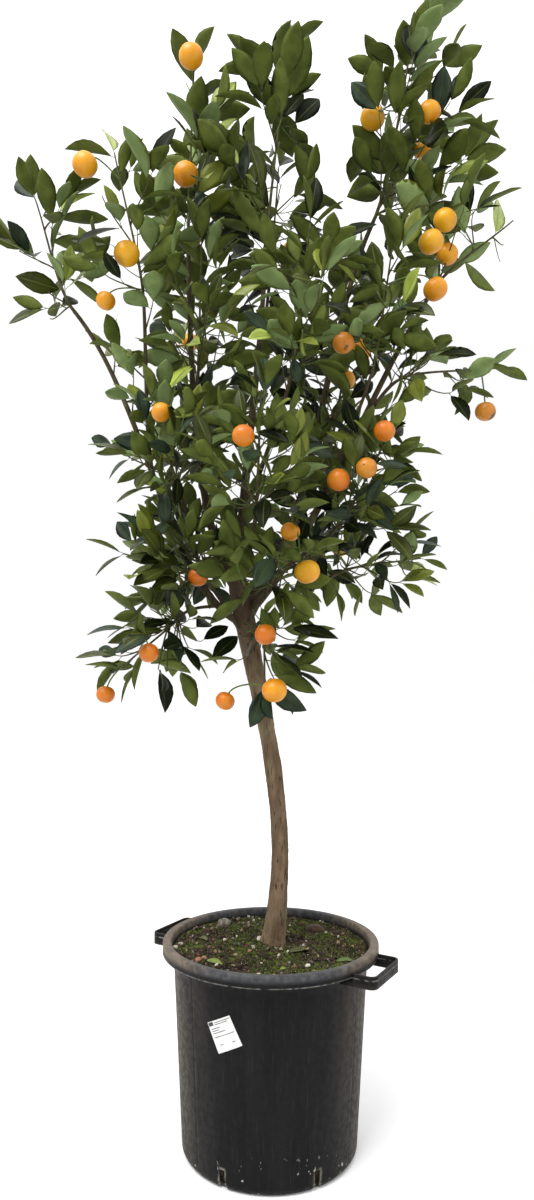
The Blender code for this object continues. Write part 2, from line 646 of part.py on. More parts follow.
def shoot_leaves(shoot, step, rng):
    """Roots and directions of the leaves of one shoot: one at its end, and more in a spiral behind it.

    Each lateral leaf has a few directions, round the shoot, that it may take where there is room.
    """
    points, tangents, _ = shoot
    length = np.linalg.norm(np.diff(points, axis=0), axis=1).sum()
    places = [(points[-1] - tangents[-1] * LEAF_SINK, [tangents[-1]])]
    turn = rng.uniform(0, 2 * math.pi)
    for k in range(1, int(length * LEAFY_SHARE / step) + 1):
        point, tangent = along(shoot, 1.0 - k * step / length)
        side = unit(np.cross(tangent, (0.1, 0.05, 1.0)))
        over = np.cross(tangent, side)
        angles = turn + (k + np.arange(LEAF_TRIES)) * GOLDEN_TURN
        outs = [side * math.cos(angle) + over * math.sin(angle) for angle in angles]
        forward = tangent * math.cos(LEAF_SPREAD)
        places.append((point, [unit(forward + out * math.sin(LEAF_SPREAD)) for out in outs]))
    return places


def grow_stalk(leader, centre, diameter):
    """A spur from the leading shoot, which bows over and enters the fruit from above."""
    spine, _ = spread_along(leader, LEADER_POINTS)
    spine = spine[ROOT_POINTS:-1]
    cost = np.linalg.norm(spine - centre, axis=1) + 0.6 * np.abs(spine[:, 2] - centre[2])
    start = spine[int(cost.argmin())]
    out = unit(centre - start)
    leave = unit(out + np.array((0, 0, STALK_RISE)))
    arrive = unit(out - np.array((0, 0, STALK_DROP)))
    controls = bend(start, centre - arrive * diameter * STALK_SINK, leave, arrive)
    return ring_stations(controls, (FRUIT_STALK_RADIUS, FRUIT_STALK_RADIUS), TWIG_RINGS)


def fuse(name, body, parts, material):
    """Joins all parts of a mass to its leading shoot as one closed solid, and keeps only that one body.

    Where the joint of two parts leaves an edge with more than two faces, the nearest part is nudged by a
    hair's breadth and the mass is joined again. A part that still joins badly is left out.
    """
    group = bpy.data.collections.new(name + "_parts")
    bpy.context.scene.collection.children.link(group)
    whole = place(name, body, material, smooth=False)
    for k, part in enumerate(parts):
        piece = place(f"{name}_part_{k}", part, material, smooth=False)
        bpy.context.scene.collection.objects.unlink(piece)
        group.objects.link(piece)
    modifier = whole.modifiers.new("join", "BOOLEAN")
    modifier.operation = "UNION"
    modifier.operand_type = "COLLECTION"
    modifier.collection = group
    for attempt in range(FUSE_ATTEMPTS):
        modifier.solver = "MANIFOLD" if attempt % 2 else "EXACT"
        view = bpy.context.evaluated_depsgraph_get()
        joined = bpy.data.meshes.new_from_object(whole.evaluated_get(view))
        faults = keep_main_body(joined)
        if not faults:
            break
        for spot in faults:
            piece = nearest_piece(group, spot)
            if attempt < FUSE_NUDGES:
                piece.location += Vector(FUSE_NUDGE) * (attempt + 1)
            else:
                bpy.data.objects.remove(piece, do_unlink=True)
    whole.modifiers.clear()
    whole.data = joined
    for piece in list(group.objects):
        bpy.data.objects.remove(piece, do_unlink=True)
    bpy.data.collections.remove(group)


def nearest_piece(group, spot):
    return min(group.objects, key=lambda piece: min((v.co - spot).length for v in piece.data.vertices))


def keep_main_body(mesh):
    """Deletes every loose scrap and sealed hollow, and returns the middles of edges that lack two faces."""
    bm = bmesh.new()
    bm.from_mesh(mesh)
    bmesh.ops.triangulate(bm, faces=bm.faces)
    seen, shells = set(), []
    for first in bm.faces:
        if first in seen:
            continue
        shell, open_ends = [], [first]
        seen.add(first)
        while open_ends:
            face = open_ends.pop()
            shell.append(face)
            for edge in face.edges:
                for other in edge.link_faces:
                    if other not in seen:
                        seen.add(other)
                        open_ends.append(other)
        volume = sum(f.verts[0].co.dot(f.verts[1].co.cross(f.verts[2].co)) for f in shell) / 6
        shells.append((volume, shell))
    shells.sort(key=lambda item: item[0])
    scraps = [face for _, shell in shells[:-1] for face in shell]
    bmesh.ops.delete(bm, geom=scraps, context="FACES")
    faults = [(e.verts[0].co + e.verts[1].co) / 2 for e in bm.edges if len(e.link_faces) != 2]
    bm.to_mesh(mesh)
    bm.free()
    return faults


def make_masses(limbs, material):
    """Every mass of foliage: its leading shoot, side shoots, fruit and leaves, fused to one solid."""
    names = list(MASSES)
    centres = np.array([MASSES[name][1] for name in names])
    radii = np.array([MASSES[name][2] for name in names])
    owned = fruit_of_masses(centres, radii)
    leaders = [grow_leader(name, limbs, centres[k], radii[k]) for k, name in enumerate(names)]
    wood = [spread_along(limb, LIMB_POINTS) for limb in limbs.values()]
    for own, name in enumerate(names):
        rng = np.random.default_rng(100 + own)
        leader = leaders[own]
        others = [spread_along(other, LEADER_POINTS) for k, other in enumerate(leaders) if k != own]
        obstacles = tuple(np.concatenate(part) for part in zip(*wood, *others))
        shoots = [leader] + grow_twigs(own, leader, centres, radii, obstacles, rng)
        stalks, parts = [], [tube(*twig, TWIG_SIDES) for twig in shoots[1:]]
        for centre, diameter in owned[own]:
            stalk = grow_stalk(leader, centre, diameter)
            skin = centre + even_directions(14, 0.0) * diameter / 2
            reach = np.vstack((spread_along(stalk, SHOOT_POINTS)[0], skin))
            if in_cell(reach, own, centres, radii) and is_clear(reach, FRUIT_STALK_RADIUS * 1.5, obstacles):
                stalks.append(stalk)
                parts += [tube(*stalk, TWIG_SIDES), fruit_body(centre, diameter)]
        lines = [spread_along(shoot, SHOOT_POINTS)[0] for shoot in shoots + stalks]
        taken = np.empty((0, 3))
        for k, shoot in enumerate(shoots):
            rivals = np.vstack(lines[:k] + lines[k + 1:] + [taken])
            for root, directions in shoot_leaves(shoot, leaf_length(radii[own]) * LEAF_STEP, rng):
                scale, roll = rng.uniform(*LEAF_SCALES), rng.uniform(-LEAF_ROLL, LEAF_ROLL)
                length = leaf_length(radii[own]) * scale
                width = length * LEAF_WIDTH
                outward = unit((root - centres[own]) * (1.0, 1.0, 0.3))
                for direction in directions:
                    frame = leaf_frame(direction, roll, outward)
                    blade = leaf_points(root, frame, length, width)
                    crowded = nearest(blade[1:], rivals) < LEAF_APART
                    for centre, diameter in owned[own]:
                        crowded |= nearest(blade, centre[None, :]) < diameter / 2 + LEAF_APART
                    if crowded or not in_cell(blade, own, centres, radii):
                        continue
                    if is_clear(blade, LEAF_CLEARANCE, obstacles):
                        rivals = np.vstack((rivals, blade))
                        taken = np.vstack((taken, blade))
                        parts.append(leaf_body(root, frame, length, width))
                        break
        fuse(name, tube(*leader, LEADER_SIDES), parts, material)


clear_scene()
moulded = finish("pot_plastic", (0.020, 0.020, 0.022), 0.55)
earth = finish("soil", (0.060, 0.048, 0.030), 0.95)
paper = finish("label_paper", (0.80, 0.80, 0.78), 0.60)
bark = finish("bark", (0.156, 0.107, 0.065), 0.85)
leafage = finish("foliage", (0.061, 0.114, 0.021), 0.45)
make_pot(moulded)
make_grips(moulded)
make_label(paper)
make_soil(earth)
all_limbs = grow_limbs()
make_limbs(all_limbs, bark)
make_masses(all_limbs, leafage)
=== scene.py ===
"""Calamondin orange tree in its nursery container, dressed for rendering.

Metres, +Z up; the origin is the centre of the container's underside, and -Y is the front.
"""

import math
import bmesh
import bpy
import numpy as np
from mathutils import Matrix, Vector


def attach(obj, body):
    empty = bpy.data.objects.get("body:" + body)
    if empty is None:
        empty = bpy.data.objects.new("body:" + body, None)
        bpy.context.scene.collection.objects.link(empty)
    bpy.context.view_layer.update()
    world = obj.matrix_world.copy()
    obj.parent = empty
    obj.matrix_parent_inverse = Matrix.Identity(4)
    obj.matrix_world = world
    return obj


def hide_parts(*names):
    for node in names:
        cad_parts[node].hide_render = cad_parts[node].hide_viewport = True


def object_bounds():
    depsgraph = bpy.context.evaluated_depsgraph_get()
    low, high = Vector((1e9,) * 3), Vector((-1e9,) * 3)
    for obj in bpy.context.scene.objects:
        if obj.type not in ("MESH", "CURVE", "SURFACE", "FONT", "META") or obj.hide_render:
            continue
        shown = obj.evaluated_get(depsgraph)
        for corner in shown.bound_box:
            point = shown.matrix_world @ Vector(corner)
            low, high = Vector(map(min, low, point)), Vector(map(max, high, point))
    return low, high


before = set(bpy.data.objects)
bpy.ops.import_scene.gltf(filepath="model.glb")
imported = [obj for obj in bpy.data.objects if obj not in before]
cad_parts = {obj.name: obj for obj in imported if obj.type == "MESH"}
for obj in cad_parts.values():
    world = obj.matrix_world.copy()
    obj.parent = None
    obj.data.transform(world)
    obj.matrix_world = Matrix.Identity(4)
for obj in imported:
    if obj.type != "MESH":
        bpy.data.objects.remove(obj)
cad_low, cad_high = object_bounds()


# The container is injection-moulded black polypropylene: a slightly tapered wall with ten faint
# moulding lines, drain slots through the corner of its foot, and a thick rolled rim, worn grey.

POT_HEIGHT = 0.35
RIM_RADIUS = 0.19
RIM_INSIDE = RIM_RADIUS - 0.0155
RIM_ROUND = 0.0042
LIP = POT_HEIGHT - 0.02
LIP_ROUND = 0.0018
WALL = 0.003
WALL_TOP_RADIUS = 0.17
WALL_TOP = LIP - 0.012
WALL_FOOT_RADIUS = 0.152
FOOT_ROUND = 0.013
FOOT_FLAT = WALL_FOOT_RADIUS - FOOT_ROUND
FLOOR = 0.004
CLEAR = 0.0003
POT_STEPS = 720
PANEL_LINES = 10
PANEL_TURN = -104.0
PANEL_DEPTH = 0.0005
PANEL_WIDTH = 0.55
PANEL_SKIN = 0.001
SLOT_WIDTH = 0.011
SLOT_HEIGHT = 0.0315
SLOT_DEPTH = 0.02
SLOT_COUNT = 6
SCUFF_REACH = 0.0019
SCUFF_TOP = 0.04
SCUFF_DASHES = (1900, 40)


def linear(red, green, blue):
    """A colour from 0 to 255 as linear light: each share c becomes ((c + 0.055) / 1.055) to the 2.4."""
    shares = np.array((red, green, blue)) / 255.0
    light = np.where(shares <= 0.04045, shares / 12.92, ((shares + 0.055) / 1.055) ** 2.4)
    return (*light.tolist(), 1.0)


def add_mesh(name, points, faces, materials, tints=None, smooth=True):
    """Puts whole arrays into a mesh: points is (n, 3), and faces a list of arrays of equal corner count."""
    mesh = bpy.data.meshes.new(name)
    points = np.asarray(points, np.float32)
    corners = np.concatenate([part.ravel() for part in faces])
    sizes = np.concatenate([np.full(len(part), part.shape[1]) for part in faces])
    mesh.vertices.add(len(points))
    mesh.vertices.foreach_set("co", points.ravel())
    mesh.loops.add(len(corners))
    mesh.loops.foreach_set("vertex_index", corners.astype(np.int32))
    mesh.polygons.add(len(sizes))
    mesh.polygons.foreach_set("loop_start", (np.cumsum(sizes) - sizes).astype(np.int32))
    if tints is not None:
        mesh.polygons.foreach_set("material_index", np.asarray(tints, np.int32))
    mesh.polygons.foreach_set("use_smooth", np.full(len(sizes), smooth))
    mesh.update(calc_edges=True)
    mesh.validate()
    for material in materials:
        mesh.materials.append(material)
    piece = bpy.data.objects.new(name, mesh)
    bpy.context.scene.collection.objects.link(piece)
    return piece


def outward(piece):
    """Turns every face of a closed mesh to look outward."""
    bm = bmesh.new()
    bm.from_mesh(piece.data)
    bmesh.ops.recalc_face_normals(bm, faces=bm.faces)
    bm.to_mesh(piece.data)
    bm.free()
    return piece


def around(angle, radius=1.0):
    """Places on a circle: (r cos a, r sin a)."""
    return np.stack((radius * np.cos(angle), radius * np.sin(angle)), axis=-1)


def even_turns(steps):
    """The angles of even steps once round."""
    return np.arange(steps) * (2 * math.pi / steps)


def turned(points, angle):
    """Points turned about +Z."""
    c, s = math.cos(angle), math.sin(angle)
    return points @ np.array(((c, s, 0), (-s, c, 0), (0, 0, 1)))


def off_step(angle, step):
    """How far an angle lies from the nearest of a row of even steps."""
    return (angle + step / 2) % step - step / 2


def ring_faces(rings, sides):
    """Quads between closed rings of points that are stored one after another."""
    low, side = np.meshgrid(np.arange(rings - 1) * sides, np.arange(sides), indexing="ij")
    here, there = low + side, low + (side + 1) % sides
    return np.stack((here, there, there + sides, here + sides), axis=-1).reshape(-1, 4)


def capped(shell, first, last):
    """Rings of points, shape (rings, sides, 3), closed at both ends by fans to a point each."""
    rings, sides = shell.shape[:2]
    here = np.arange(sides)
    there = (here + 1) % sides
    top = (rings - 1) * sides
    start = np.stack((np.full(sides, rings * sides), there, here), axis=-1)
    end = np.stack((np.full(sides, rings * sides + 1), top + here, top + there), axis=-1)
    return np.vstack((shell.reshape(-1, 3), first, last)), [ring_faces(rings, sides), start, end]


def spun(profile, steps):
    """A profile of (radius, height) carried round +Z: x = r cos a, y = r sin a, z = h, at even angles a.

    The first and last points lie on the axis and close the surface as fans.
    """
    radius, height = np.asarray(profile, float).T
    plan = around(even_turns(steps), radius[1:-1, None])
    shell = np.dstack((plan, np.broadcast_to(height[1:-1, None], plan.shape[:2])))
    return capped(shell, (0, 0, height[0]), (0, 0, height[-1]))


def arc(centre, radius, start, end, count):
    """Points of a circular arc between two angles in degrees."""
    return around(np.radians(np.linspace(start, end, count)), radius) + centre


def evenly(start, end, count):
    """Points on a straight run, without its first one."""
    share = np.linspace(0.0, 1.0, count + 1)[1:, None]
    return np.asarray(start) * (1 - share) + np.asarray(end) * share


def pot_profile():
    """The container's section, from the middle of its underside, up its outside, and down its inside."""
    return np.vstack((
        (0.0, 0.0),
        evenly((0.0, 0.0), (FOOT_FLAT, 0.0), 6),
        arc((FOOT_FLAT, FOOT_ROUND), FOOT_ROUND, -90, 0, 10)[1:],
        evenly((WALL_FOOT_RADIUS, FOOT_ROUND), (WALL_TOP_RADIUS, WALL_TOP), 26),
        evenly((WALL_TOP_RADIUS, WALL_TOP), (RIM_INSIDE, LIP), 3),
        arc((RIM_RADIUS - LIP_ROUND, LIP + LIP_ROUND), LIP_ROUND, -90, 0, 4),
        arc((RIM_RADIUS - RIM_ROUND, POT_HEIGHT - RIM_ROUND), RIM_ROUND, 0, 90, 7),
        arc((RIM_INSIDE + RIM_ROUND, POT_HEIGHT - RIM_ROUND), RIM_ROUND, 90, 180, 7),
        evenly((RIM_INSIDE, POT_HEIGHT - RIM_ROUND), (RIM_INSIDE - WALL, LIP), 3),
        evenly((RIM_INSIDE - WALL, LIP), (WALL_TOP_RADIUS - WALL, WALL_TOP), 2),
        evenly((WALL_TOP_RADIUS - WALL, WALL_TOP), (WALL_FOOT_RADIUS - WALL, FOOT_ROUND), 8),
        evenly((WALL_FOOT_RADIUS - WALL, FOOT_ROUND), (FOOT_FLAT, FLOOR), 3),
        (0.0, FLOOR),
    ))


def wall_radius(height):
    """Outer radius of the container's wall at a height above its foot."""
    rise = (height - FOOT_ROUND) / (WALL_TOP - FOOT_ROUND)
    return WALL_FOOT_RADIUS + (WALL_TOP_RADIUS - WALL_FOOT_RADIUS) * rise


def slot_tool(angle):
    """A closed box that stands across the foot's corner at an angle round +Z."""
    corner = np.array([(x, y, z) for x in (-0.5, 0.5) for y in (-0.5, 0.5) for z in (-0.5, 0.5)])
    points = corner * (SLOT_DEPTH, SLOT_WIDTH, 2 * SLOT_HEIGHT) + (WALL_FOOT_RADIUS, 0, 0)
    faces = np.array(((0, 1, 3, 2), (4, 6, 7, 5), (0, 4, 5, 1), (2, 3, 7, 6), (0, 2, 6, 4), (1, 5, 7, 3)))
    return outward(add_mesh("slot", turned(points, angle), [faces], []))


def carve(piece, cutters):
    """Cuts closed tools out of a closed piece, and removes the tools."""
    for cutter in cutters:
        modifier = piece.modifiers.new("cut", "BOOLEAN")
        modifier.operation, modifier.solver, modifier.object = "DIFFERENCE", "MANIFOLD", cutter
    view = bpy.context.evaluated_depsgraph_get()
    mesh = bpy.data.meshes.new_from_object(piece.evaluated_get(view))
    piece.modifiers.clear()
    piece.data = mesh
    for cutter in cutters:
        bpy.data.objects.remove(cutter, do_unlink=True)


def add_node(tree, kind, inputs=(), **settings):
    """A shader node with its settings; each input is linked to a socket or set to a value."""
    node = tree.nodes.new("ShaderNode" + kind)
    for name, value in settings.items():
        setattr(node, name, value)
    for name, value in dict(inputs).items():
        if isinstance(value, bpy.types.NodeSocket):
            tree.links.new(value, node.inputs[name])
        else:
            node.inputs[name].default_value = value
    return node.outputs


def between(tree, source, low, high, start=0.0, end=1.0):
    """A smooth step of a value from one level to another."""
    levels = {"Value": source, "From Min": low, "From Max": high, "To Min": start, "To Max": end}
    return add_node(tree, "MapRange", levels, interpolation_type="SMOOTHSTEP")["Result"]


def mixed(tree, mask, ground, patch):
    """Two colours, each a socket or a plain value, mixed by a mask."""
    return add_node(tree, "Mix", {"Factor": mask, "A": ground, "B": patch}, data_type="RGBA")["Result"]


def times(tree, first, second):
    """The product of two masks."""
    return add_node(tree, "Math", {0: first, 1: second}, operation="MULTIPLY")[0]


def noise_group(name, outputs, **inputs):
    """A node group with named sockets, and in it noise on the piece's own coordinates, stretched."""
    group = bpy.data.node_groups.new(name, "ShaderNodeTree")
    kinds = {1: "NodeSocketFloat", 3: "NodeSocketVector", 4: "NodeSocketColor"}
    for label, value in inputs.items():
        socket = group.interface.new_socket(label, in_out="INPUT", socket_type=kinds[np.size(value)])
        socket.default_value = value
    for label, size in outputs.items():
        group.interface.new_socket(label, in_out="OUTPUT", socket_type=kinds[size])
    given, made = group.nodes.new("NodeGroupInput").outputs, group.nodes.new("NodeGroupOutput").inputs
    place = add_node(group, "TexCoord")["Object"]
    stretched = add_node(group, "VectorMath", {0: place, 1: given["Stretch"]}, operation="MULTIPLY")[0]
    inputs = {"Vector": stretched, "Scale": given["Scale"], "Detail": given["Detail"]}
    return group, given, made, add_node(group, "TexNoise", inputs)["Fac"]


def make_mottle():
    """Two colours mixed by a smooth step of the noise, and that step as a mask."""
    group, given, made, noise = noise_group(
        "mottle", {"Colour": 4, "Mask": 1}, Ground=(0.1, 0.1, 0.1, 1.0), Patch=(0.2, 0.2, 0.2, 1.0),
        Scale=20.0, Detail=4.0, From=0.4, To=0.6, Stretch=(1.0, 1.0, 1.0))
    mask = between(group, noise, given["From"], given["To"])
    group.links.new(mixed(group, mask, given["Ground"], given["Patch"]), made["Colour"])
    group.links.new(mask, made["Mask"])
    return group


def make_grain():
    """A rough surface: the noise as the height of a bump."""
    group, given, made, noise = noise_group(
        "grain", {"Normal": 3}, Scale=200.0, Detail=6.0, Height=0.001, Strength=0.5, Stretch=(1.0, 1.0, 1.0))
    inputs = {"Height": noise, "Distance": given["Height"], "Strength": given["Strength"]}
    group.links.new(add_node(group, "Bump", inputs)["Normal"], made["Normal"])
    return group


MOTTLE = make_mottle()
GRAIN = make_grain()


def new_material(name, roughness, specular):
    """A material, its tree, and its shader's own sockets, which hold the steady values."""
    material = bpy.data.materials.new(name)
    material.use_nodes = True
    body = material.node_tree.nodes["Principled BSDF"].inputs
    body["Roughness"].default_value = roughness
    body["Specular IOR Level"].default_value = specular
    return material, material.node_tree, body


def mottle(tree, **values):
    """The mottle group placed in a material with its own values."""
    return add_node(tree, "Group", values, node_tree=MOTTLE)


def tone(tree, ground, patch, **values):
    """The mottle group with two colours from 0 to 255."""
    return mottle(tree, Ground=linear(*ground), Patch=linear(*patch), **values)


def roughen(tree, body, **values):
    """The grain group placed in a material as its shader's normal."""
    tree.links.new(add_node(tree, "Group", values, node_tree=GRAIN)["Normal"], body["Normal"])


def own_place(tree):
    """The three coordinates of the piece's own space."""
    return add_node(tree, "SeparateXYZ", {0: add_node(tree, "TexCoord")["Object"]})


def plastic_material():
    """Black plastic under dust: a brown dust film with painted sheen at the left and right sides, streaks, a
    worn rim whose sides also take dust with painted sheen, and scuffed slot edges.
    """
    material, tree, body = new_material("moulded_black_plastic", 0.5, 0.1)
    body["Sheen Weight"].default_value = 0.05
    body["Sheen Roughness"].default_value = 0.5
    body["Sheen Tint"].default_value = linear(150, 140, 120)
    broad = tone(tree, (10, 10, 12), (18, 18, 19), Scale=26.0, Detail=6.0, From=0.38, To=0.72,
                 Stretch=(1.0, 1.0, 0.12))["Colour"]
    # Painted sheen: this brown film colour is dust as seen at a grazing angle, put only on the left and
    # right sides.
    film = tone(tree, (34, 30, 26), (52, 46, 39), Scale=30.0, Detail=6.0, From=0.4, To=0.66,
                Stretch=(1.0, 1.0, 0.1))["Colour"]
    worn = tone(tree, (50, 51, 53), (74, 74, 75), Scale=110.0, Detail=7.0, From=0.36, To=0.74)
    dust_and_side_sheen = tone(tree, (74, 66, 57), (104, 94, 82), Scale=110.0, Detail=7.0, From=0.34, To=0.66)
    fine = mottle(tree, Scale=260.0, Detail=4.0, From=0.5, To=0.8, Stretch=(1.0, 1.0, 0.05))["Mask"]
    flecks = mottle(tree, Scale=160.0, Detail=2.0, From=0.69, To=0.73, Stretch=(1.0, 1.0, 0.5))["Mask"]
    place = own_place(tree)
    aside = add_node(tree, "Math", {0: place["X"]}, operation="ABSOLUTE")[0]
    side = between(tree, aside, 0.085, 0.172)
    # low is the mask of the painted side sheen: the left and right sides by |x|, below the rim.
    low = times(tree, side, between(tree, place["Z"], 0.328, 0.312))
    rim = between(tree, place["Z"], 0.335, 0.3455)
    edge = times(tree, between(tree, place["Z"], 0.3296, 0.3304), between(tree, place["Z"], 0.333, 0.3316))
    foot = between(tree, place["Z"], 0.075, 0.02)
    scuff = add_node(tree, "Attribute", attribute_name="scuff")["Fac"]
    colour = mixed(tree, low, broad, film)
    colour = mixed(tree, between(tree, fine, 0.0, 1.0, 0.0, 0.28), colour, linear(46, 45, 45))
    # The rim's left and right sides take the dust colour with painted sheen.
    colour = mixed(tree, rim, colour, mixed(tree, side, worn["Colour"], dust_and_side_sheen["Colour"]))
    colour = mixed(tree, times(tree, edge, worn["Mask"]), colour, linear(112, 110, 104))
    colour = mixed(tree, times(tree, flecks, foot), colour, linear(150, 148, 140))
    colour = mixed(tree, scuff, colour, linear(136, 132, 122))
    tree.links.new(colour, body["Base Color"])
    tree.links.new(between(tree, dust_and_side_sheen["Mask"], 0.0, 1.0, 0.44, 0.62), body["Roughness"])
    roughen(tree, body, Scale=420.0, Height=0.0004, Strength=0.35)
    return material


plastic = plastic_material()


def make_container():
    """The spun wall, pressed in by depth * exp(-(offset / width)^2) at each moulding line, with slots cut.

    The scuff attribute is high beside the slots, within a reach of their edges, in uneven dashes.
    """
    points, faces = spun(pot_profile(), POT_STEPS)
    radius = np.hypot(points[:, 0], points[:, 1])
    angle = np.degrees(np.arctan2(points[:, 1], points[:, 0]))
    offset = off_step(angle - PANEL_TURN, 360.0 / PANEL_LINES)
    wall = (np.abs(radius - wall_radius(points[:, 2])) < PANEL_SKIN) & (points[:, 2] > FOOT_ROUND)
    press = PANEL_DEPTH * np.exp(-((offset / PANEL_WIDTH) ** 2)) * wall
    points[:, :2] *= (1 - press / np.maximum(radius, 0.01))[:, None]
    pot = outward(add_mesh("container", points, faces, [plastic]))
    carve(pot, [slot_tool(k * 2 * math.pi / SLOT_COUNT) for k in range(SLOT_COUNT)])
    spots = np.empty(len(pot.data.vertices) * 3, np.float32)
    pot.data.vertices.foreach_get("co", spots)
    x, y, z = spots.reshape(-1, 3).T
    turn = np.arctan2(y, x)
    across = np.abs(off_step(turn, 2 * math.pi / SLOT_COUNT)) * np.hypot(x, y)
    beside = np.maximum(across - SLOT_WIDTH / 2, z - SLOT_HEIGHT)
    near = np.exp(-((np.clip(beside, 0.0, 1.0) / SCUFF_REACH) ** 2)) * (z < SCUFF_TOP)
    near *= 0.45 + 0.55 * np.sin(z * SCUFF_DASHES[0] + turn * SCUFF_DASHES[1])
    layer = pot.data.attributes.new("scuff", "FLOAT", "POINT")
    layer.data.foreach_set("value", np.clip(near, 0.0, 1.0).astype(np.float32))
    return pot


container = make_container()
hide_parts("pot")
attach(container, "root")


# The grips are flat straps of the same plastic, moulded in one with the rim: each leaves the wall
# under the rim, runs out, turns along it and comes back.

GRIP_ROOT = WALL_TOP_RADIUS - 0.012
GRIP_REACH = 0.2205
GRIP_LENGTH = 0.106
GRIP_HEIGHT = 0.021
GRIP_TOP = 0.338
GRIP_THICKNESS = 0.0035
GRIP_CORNER = 0.011
GRIP_EDGE = 0.0012
ENVELOPE_STEPS = 180
ENVELOPE_MARGIN = 0.01


def grip_path():
    """The strap's middle line seen from above: out, round a corner, along, round a corner, and back."""
    half = GRIP_LENGTH / 2
    turn_in = GRIP_REACH - GRIP_CORNER
    run = np.linspace(GRIP_ROOT, turn_in, 8)[:-1]
    start = np.stack((run, np.full(len(run), -half)), axis=1)
    near = np.vstack((start, arc((turn_in, -half + GRIP_CORNER), GRIP_CORNER, -90, 0, 10)))
    middle = np.linspace(-half + GRIP_CORNER, half - GRIP_CORNER, 12)[1:-1]
    middle = np.stack((np.full(len(middle), GRIP_REACH), middle), axis=1)
    return np.vstack((near, middle, near[::-1] * (1, -1)))


def strap_section():
    """A rectangle with rounded corners, as offsets across and up: quarter circles and straight runs."""
    wide, tall = GRIP_THICKNESS / 2 - GRIP_EDGE, GRIP_HEIGHT / 2 - GRIP_EDGE
    corners = ((wide, tall), (-wide, tall), (-wide, -tall), (wide, -tall))
    return np.vstack([arc(corner, GRIP_EDGE, 90 * k, 90 * k + 90, 4) for k, corner in enumerate(corners)])


def make_grip(name, node, angle):
    """The section carried along the path, turned round +Z, and cut off at the container's skin."""
    path, section = grip_path(), strap_section()
    ahead = np.gradient(path, axis=0)
    ahead /= np.linalg.norm(ahead, axis=1, keepdims=True)
    across = np.stack((ahead[:, 1], -ahead[:, 0]), axis=1)
    plan = path[:, None, :] + across[:, None, :] * section[None, :, :1]
    height = np.broadcast_to(section[None, :, 1], plan.shape[:2]) + GRIP_TOP - GRIP_HEIGHT / 2
    points = turned(np.dstack((plan, height)).reshape(-1, 3), math.radians(angle))
    sides = len(section)
    ends = np.stack((np.arange(sides), np.arange(sides)[::-1] + (len(path) - 1) * sides))
    grip = outward(add_mesh(name, points, [ring_faces(len(path), sides), ends], [plastic]))
    envelope = ((0, -ENVELOPE_MARGIN), (WALL_FOOT_RADIUS + CLEAR, -ENVELOPE_MARGIN),
                (WALL_TOP_RADIUS + CLEAR, WALL_TOP), (RIM_INSIDE + CLEAR, LIP - CLEAR),
                (RIM_RADIUS + CLEAR, LIP - CLEAR), (RIM_RADIUS + CLEAR, POT_HEIGHT + ENVELOPE_MARGIN),
                (0, POT_HEIGHT + ENVELOPE_MARGIN))
    carve(grip, [outward(add_mesh("envelope", *spun(envelope, ENVELOPE_STEPS), []))])
    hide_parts(node)
    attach(grip, "root")


make_grip("grip_right", "handle_right", -30.0)
make_grip("grip_left", "handle_left", 150.0)


# The label is a white paper sticker, put on by hand a little askew. It bears only plain ruled lines
# and a blank dark tab.

LABEL_WIDTH = 0.0465
LABEL_HEIGHT = 0.049
LABEL_THICKNESS = 0.0006
LABEL_ANGLE = math.radians(-116.5)
LABEL_MIDDLE = 0.246
LABEL_TILT = math.radians(26.0)
INK_BACK = CLEAR + 0.0005
INK_FRONT = CLEAR + 0.00068
RULE_HEIGHT = 0.022
RULED_LINES = ((0.27, 0.97, 0.94), (0.27, 0.82, 0.88), (0.07, 0.48, 0.77), (0.07, 0.4, 0.7),
               (0.07, 0.62, 0.63), (0.07, 0.93, 0.5), (0.2, 0.34, 0.24), (0.7, 0.84, 0.22))
TAB = ((-0.48, 0.36), (-0.27, 0.48))


def mottled_material(name, ground, patch, roughness, specular, relief=None, **values):
    """A finish of two near colours in soft areas, with a grain where its relief is given."""
    material, tree, body = new_material(name, roughness, specular)
    tree.links.new(tone(tree, ground, patch, **values)["Colour"], body["Base Color"])
    if relief:
        roughen(tree, body, **relief)
    return material


def on_wall(u, v, lift):
    """Label coordinates (shares from -0.5 to 0.5) wrapped on the wall: a turned rectangle, rolled to it."""
    u, v = u * LABEL_WIDTH, v * LABEL_HEIGHT
    across = u * math.cos(LABEL_TILT) - v * math.sin(LABEL_TILT)
    height = LABEL_MIDDLE + u * math.sin(LABEL_TILT) + v * math.cos(LABEL_TILT)
    radius = wall_radius(height) + lift
    return np.dstack((around(LABEL_ANGLE + across / radius, radius), height))


def slab(low, high, back, front, cells):
    """A closed thin sheet between two corners of the label, from one lift to another."""
    u, v = np.meshgrid(np.linspace(low[0], high[0], cells), np.linspace(low[1], high[1], cells))
    sheets = np.concatenate([on_wall(u, v, lift).reshape(-1, 3) for lift in (back, front)])
    grid = np.arange(cells * cells).reshape(cells, cells)
    quads = np.stack((grid[:-1, :-1], grid[:-1, 1:], grid[1:, 1:], grid[1:, :-1]), axis=-1).reshape(-1, 4)
    rim = np.concatenate((grid[0], grid[1:, -1], grid[-1, -2::-1], grid[-2:0:-1, 0]))
    ahead = np.roll(rim, -1)
    walls = np.stack((rim, ahead, ahead + cells**2, rim + cells**2), axis=-1)
    return sheets, [quads[:, ::-1], quads + cells**2, walls]


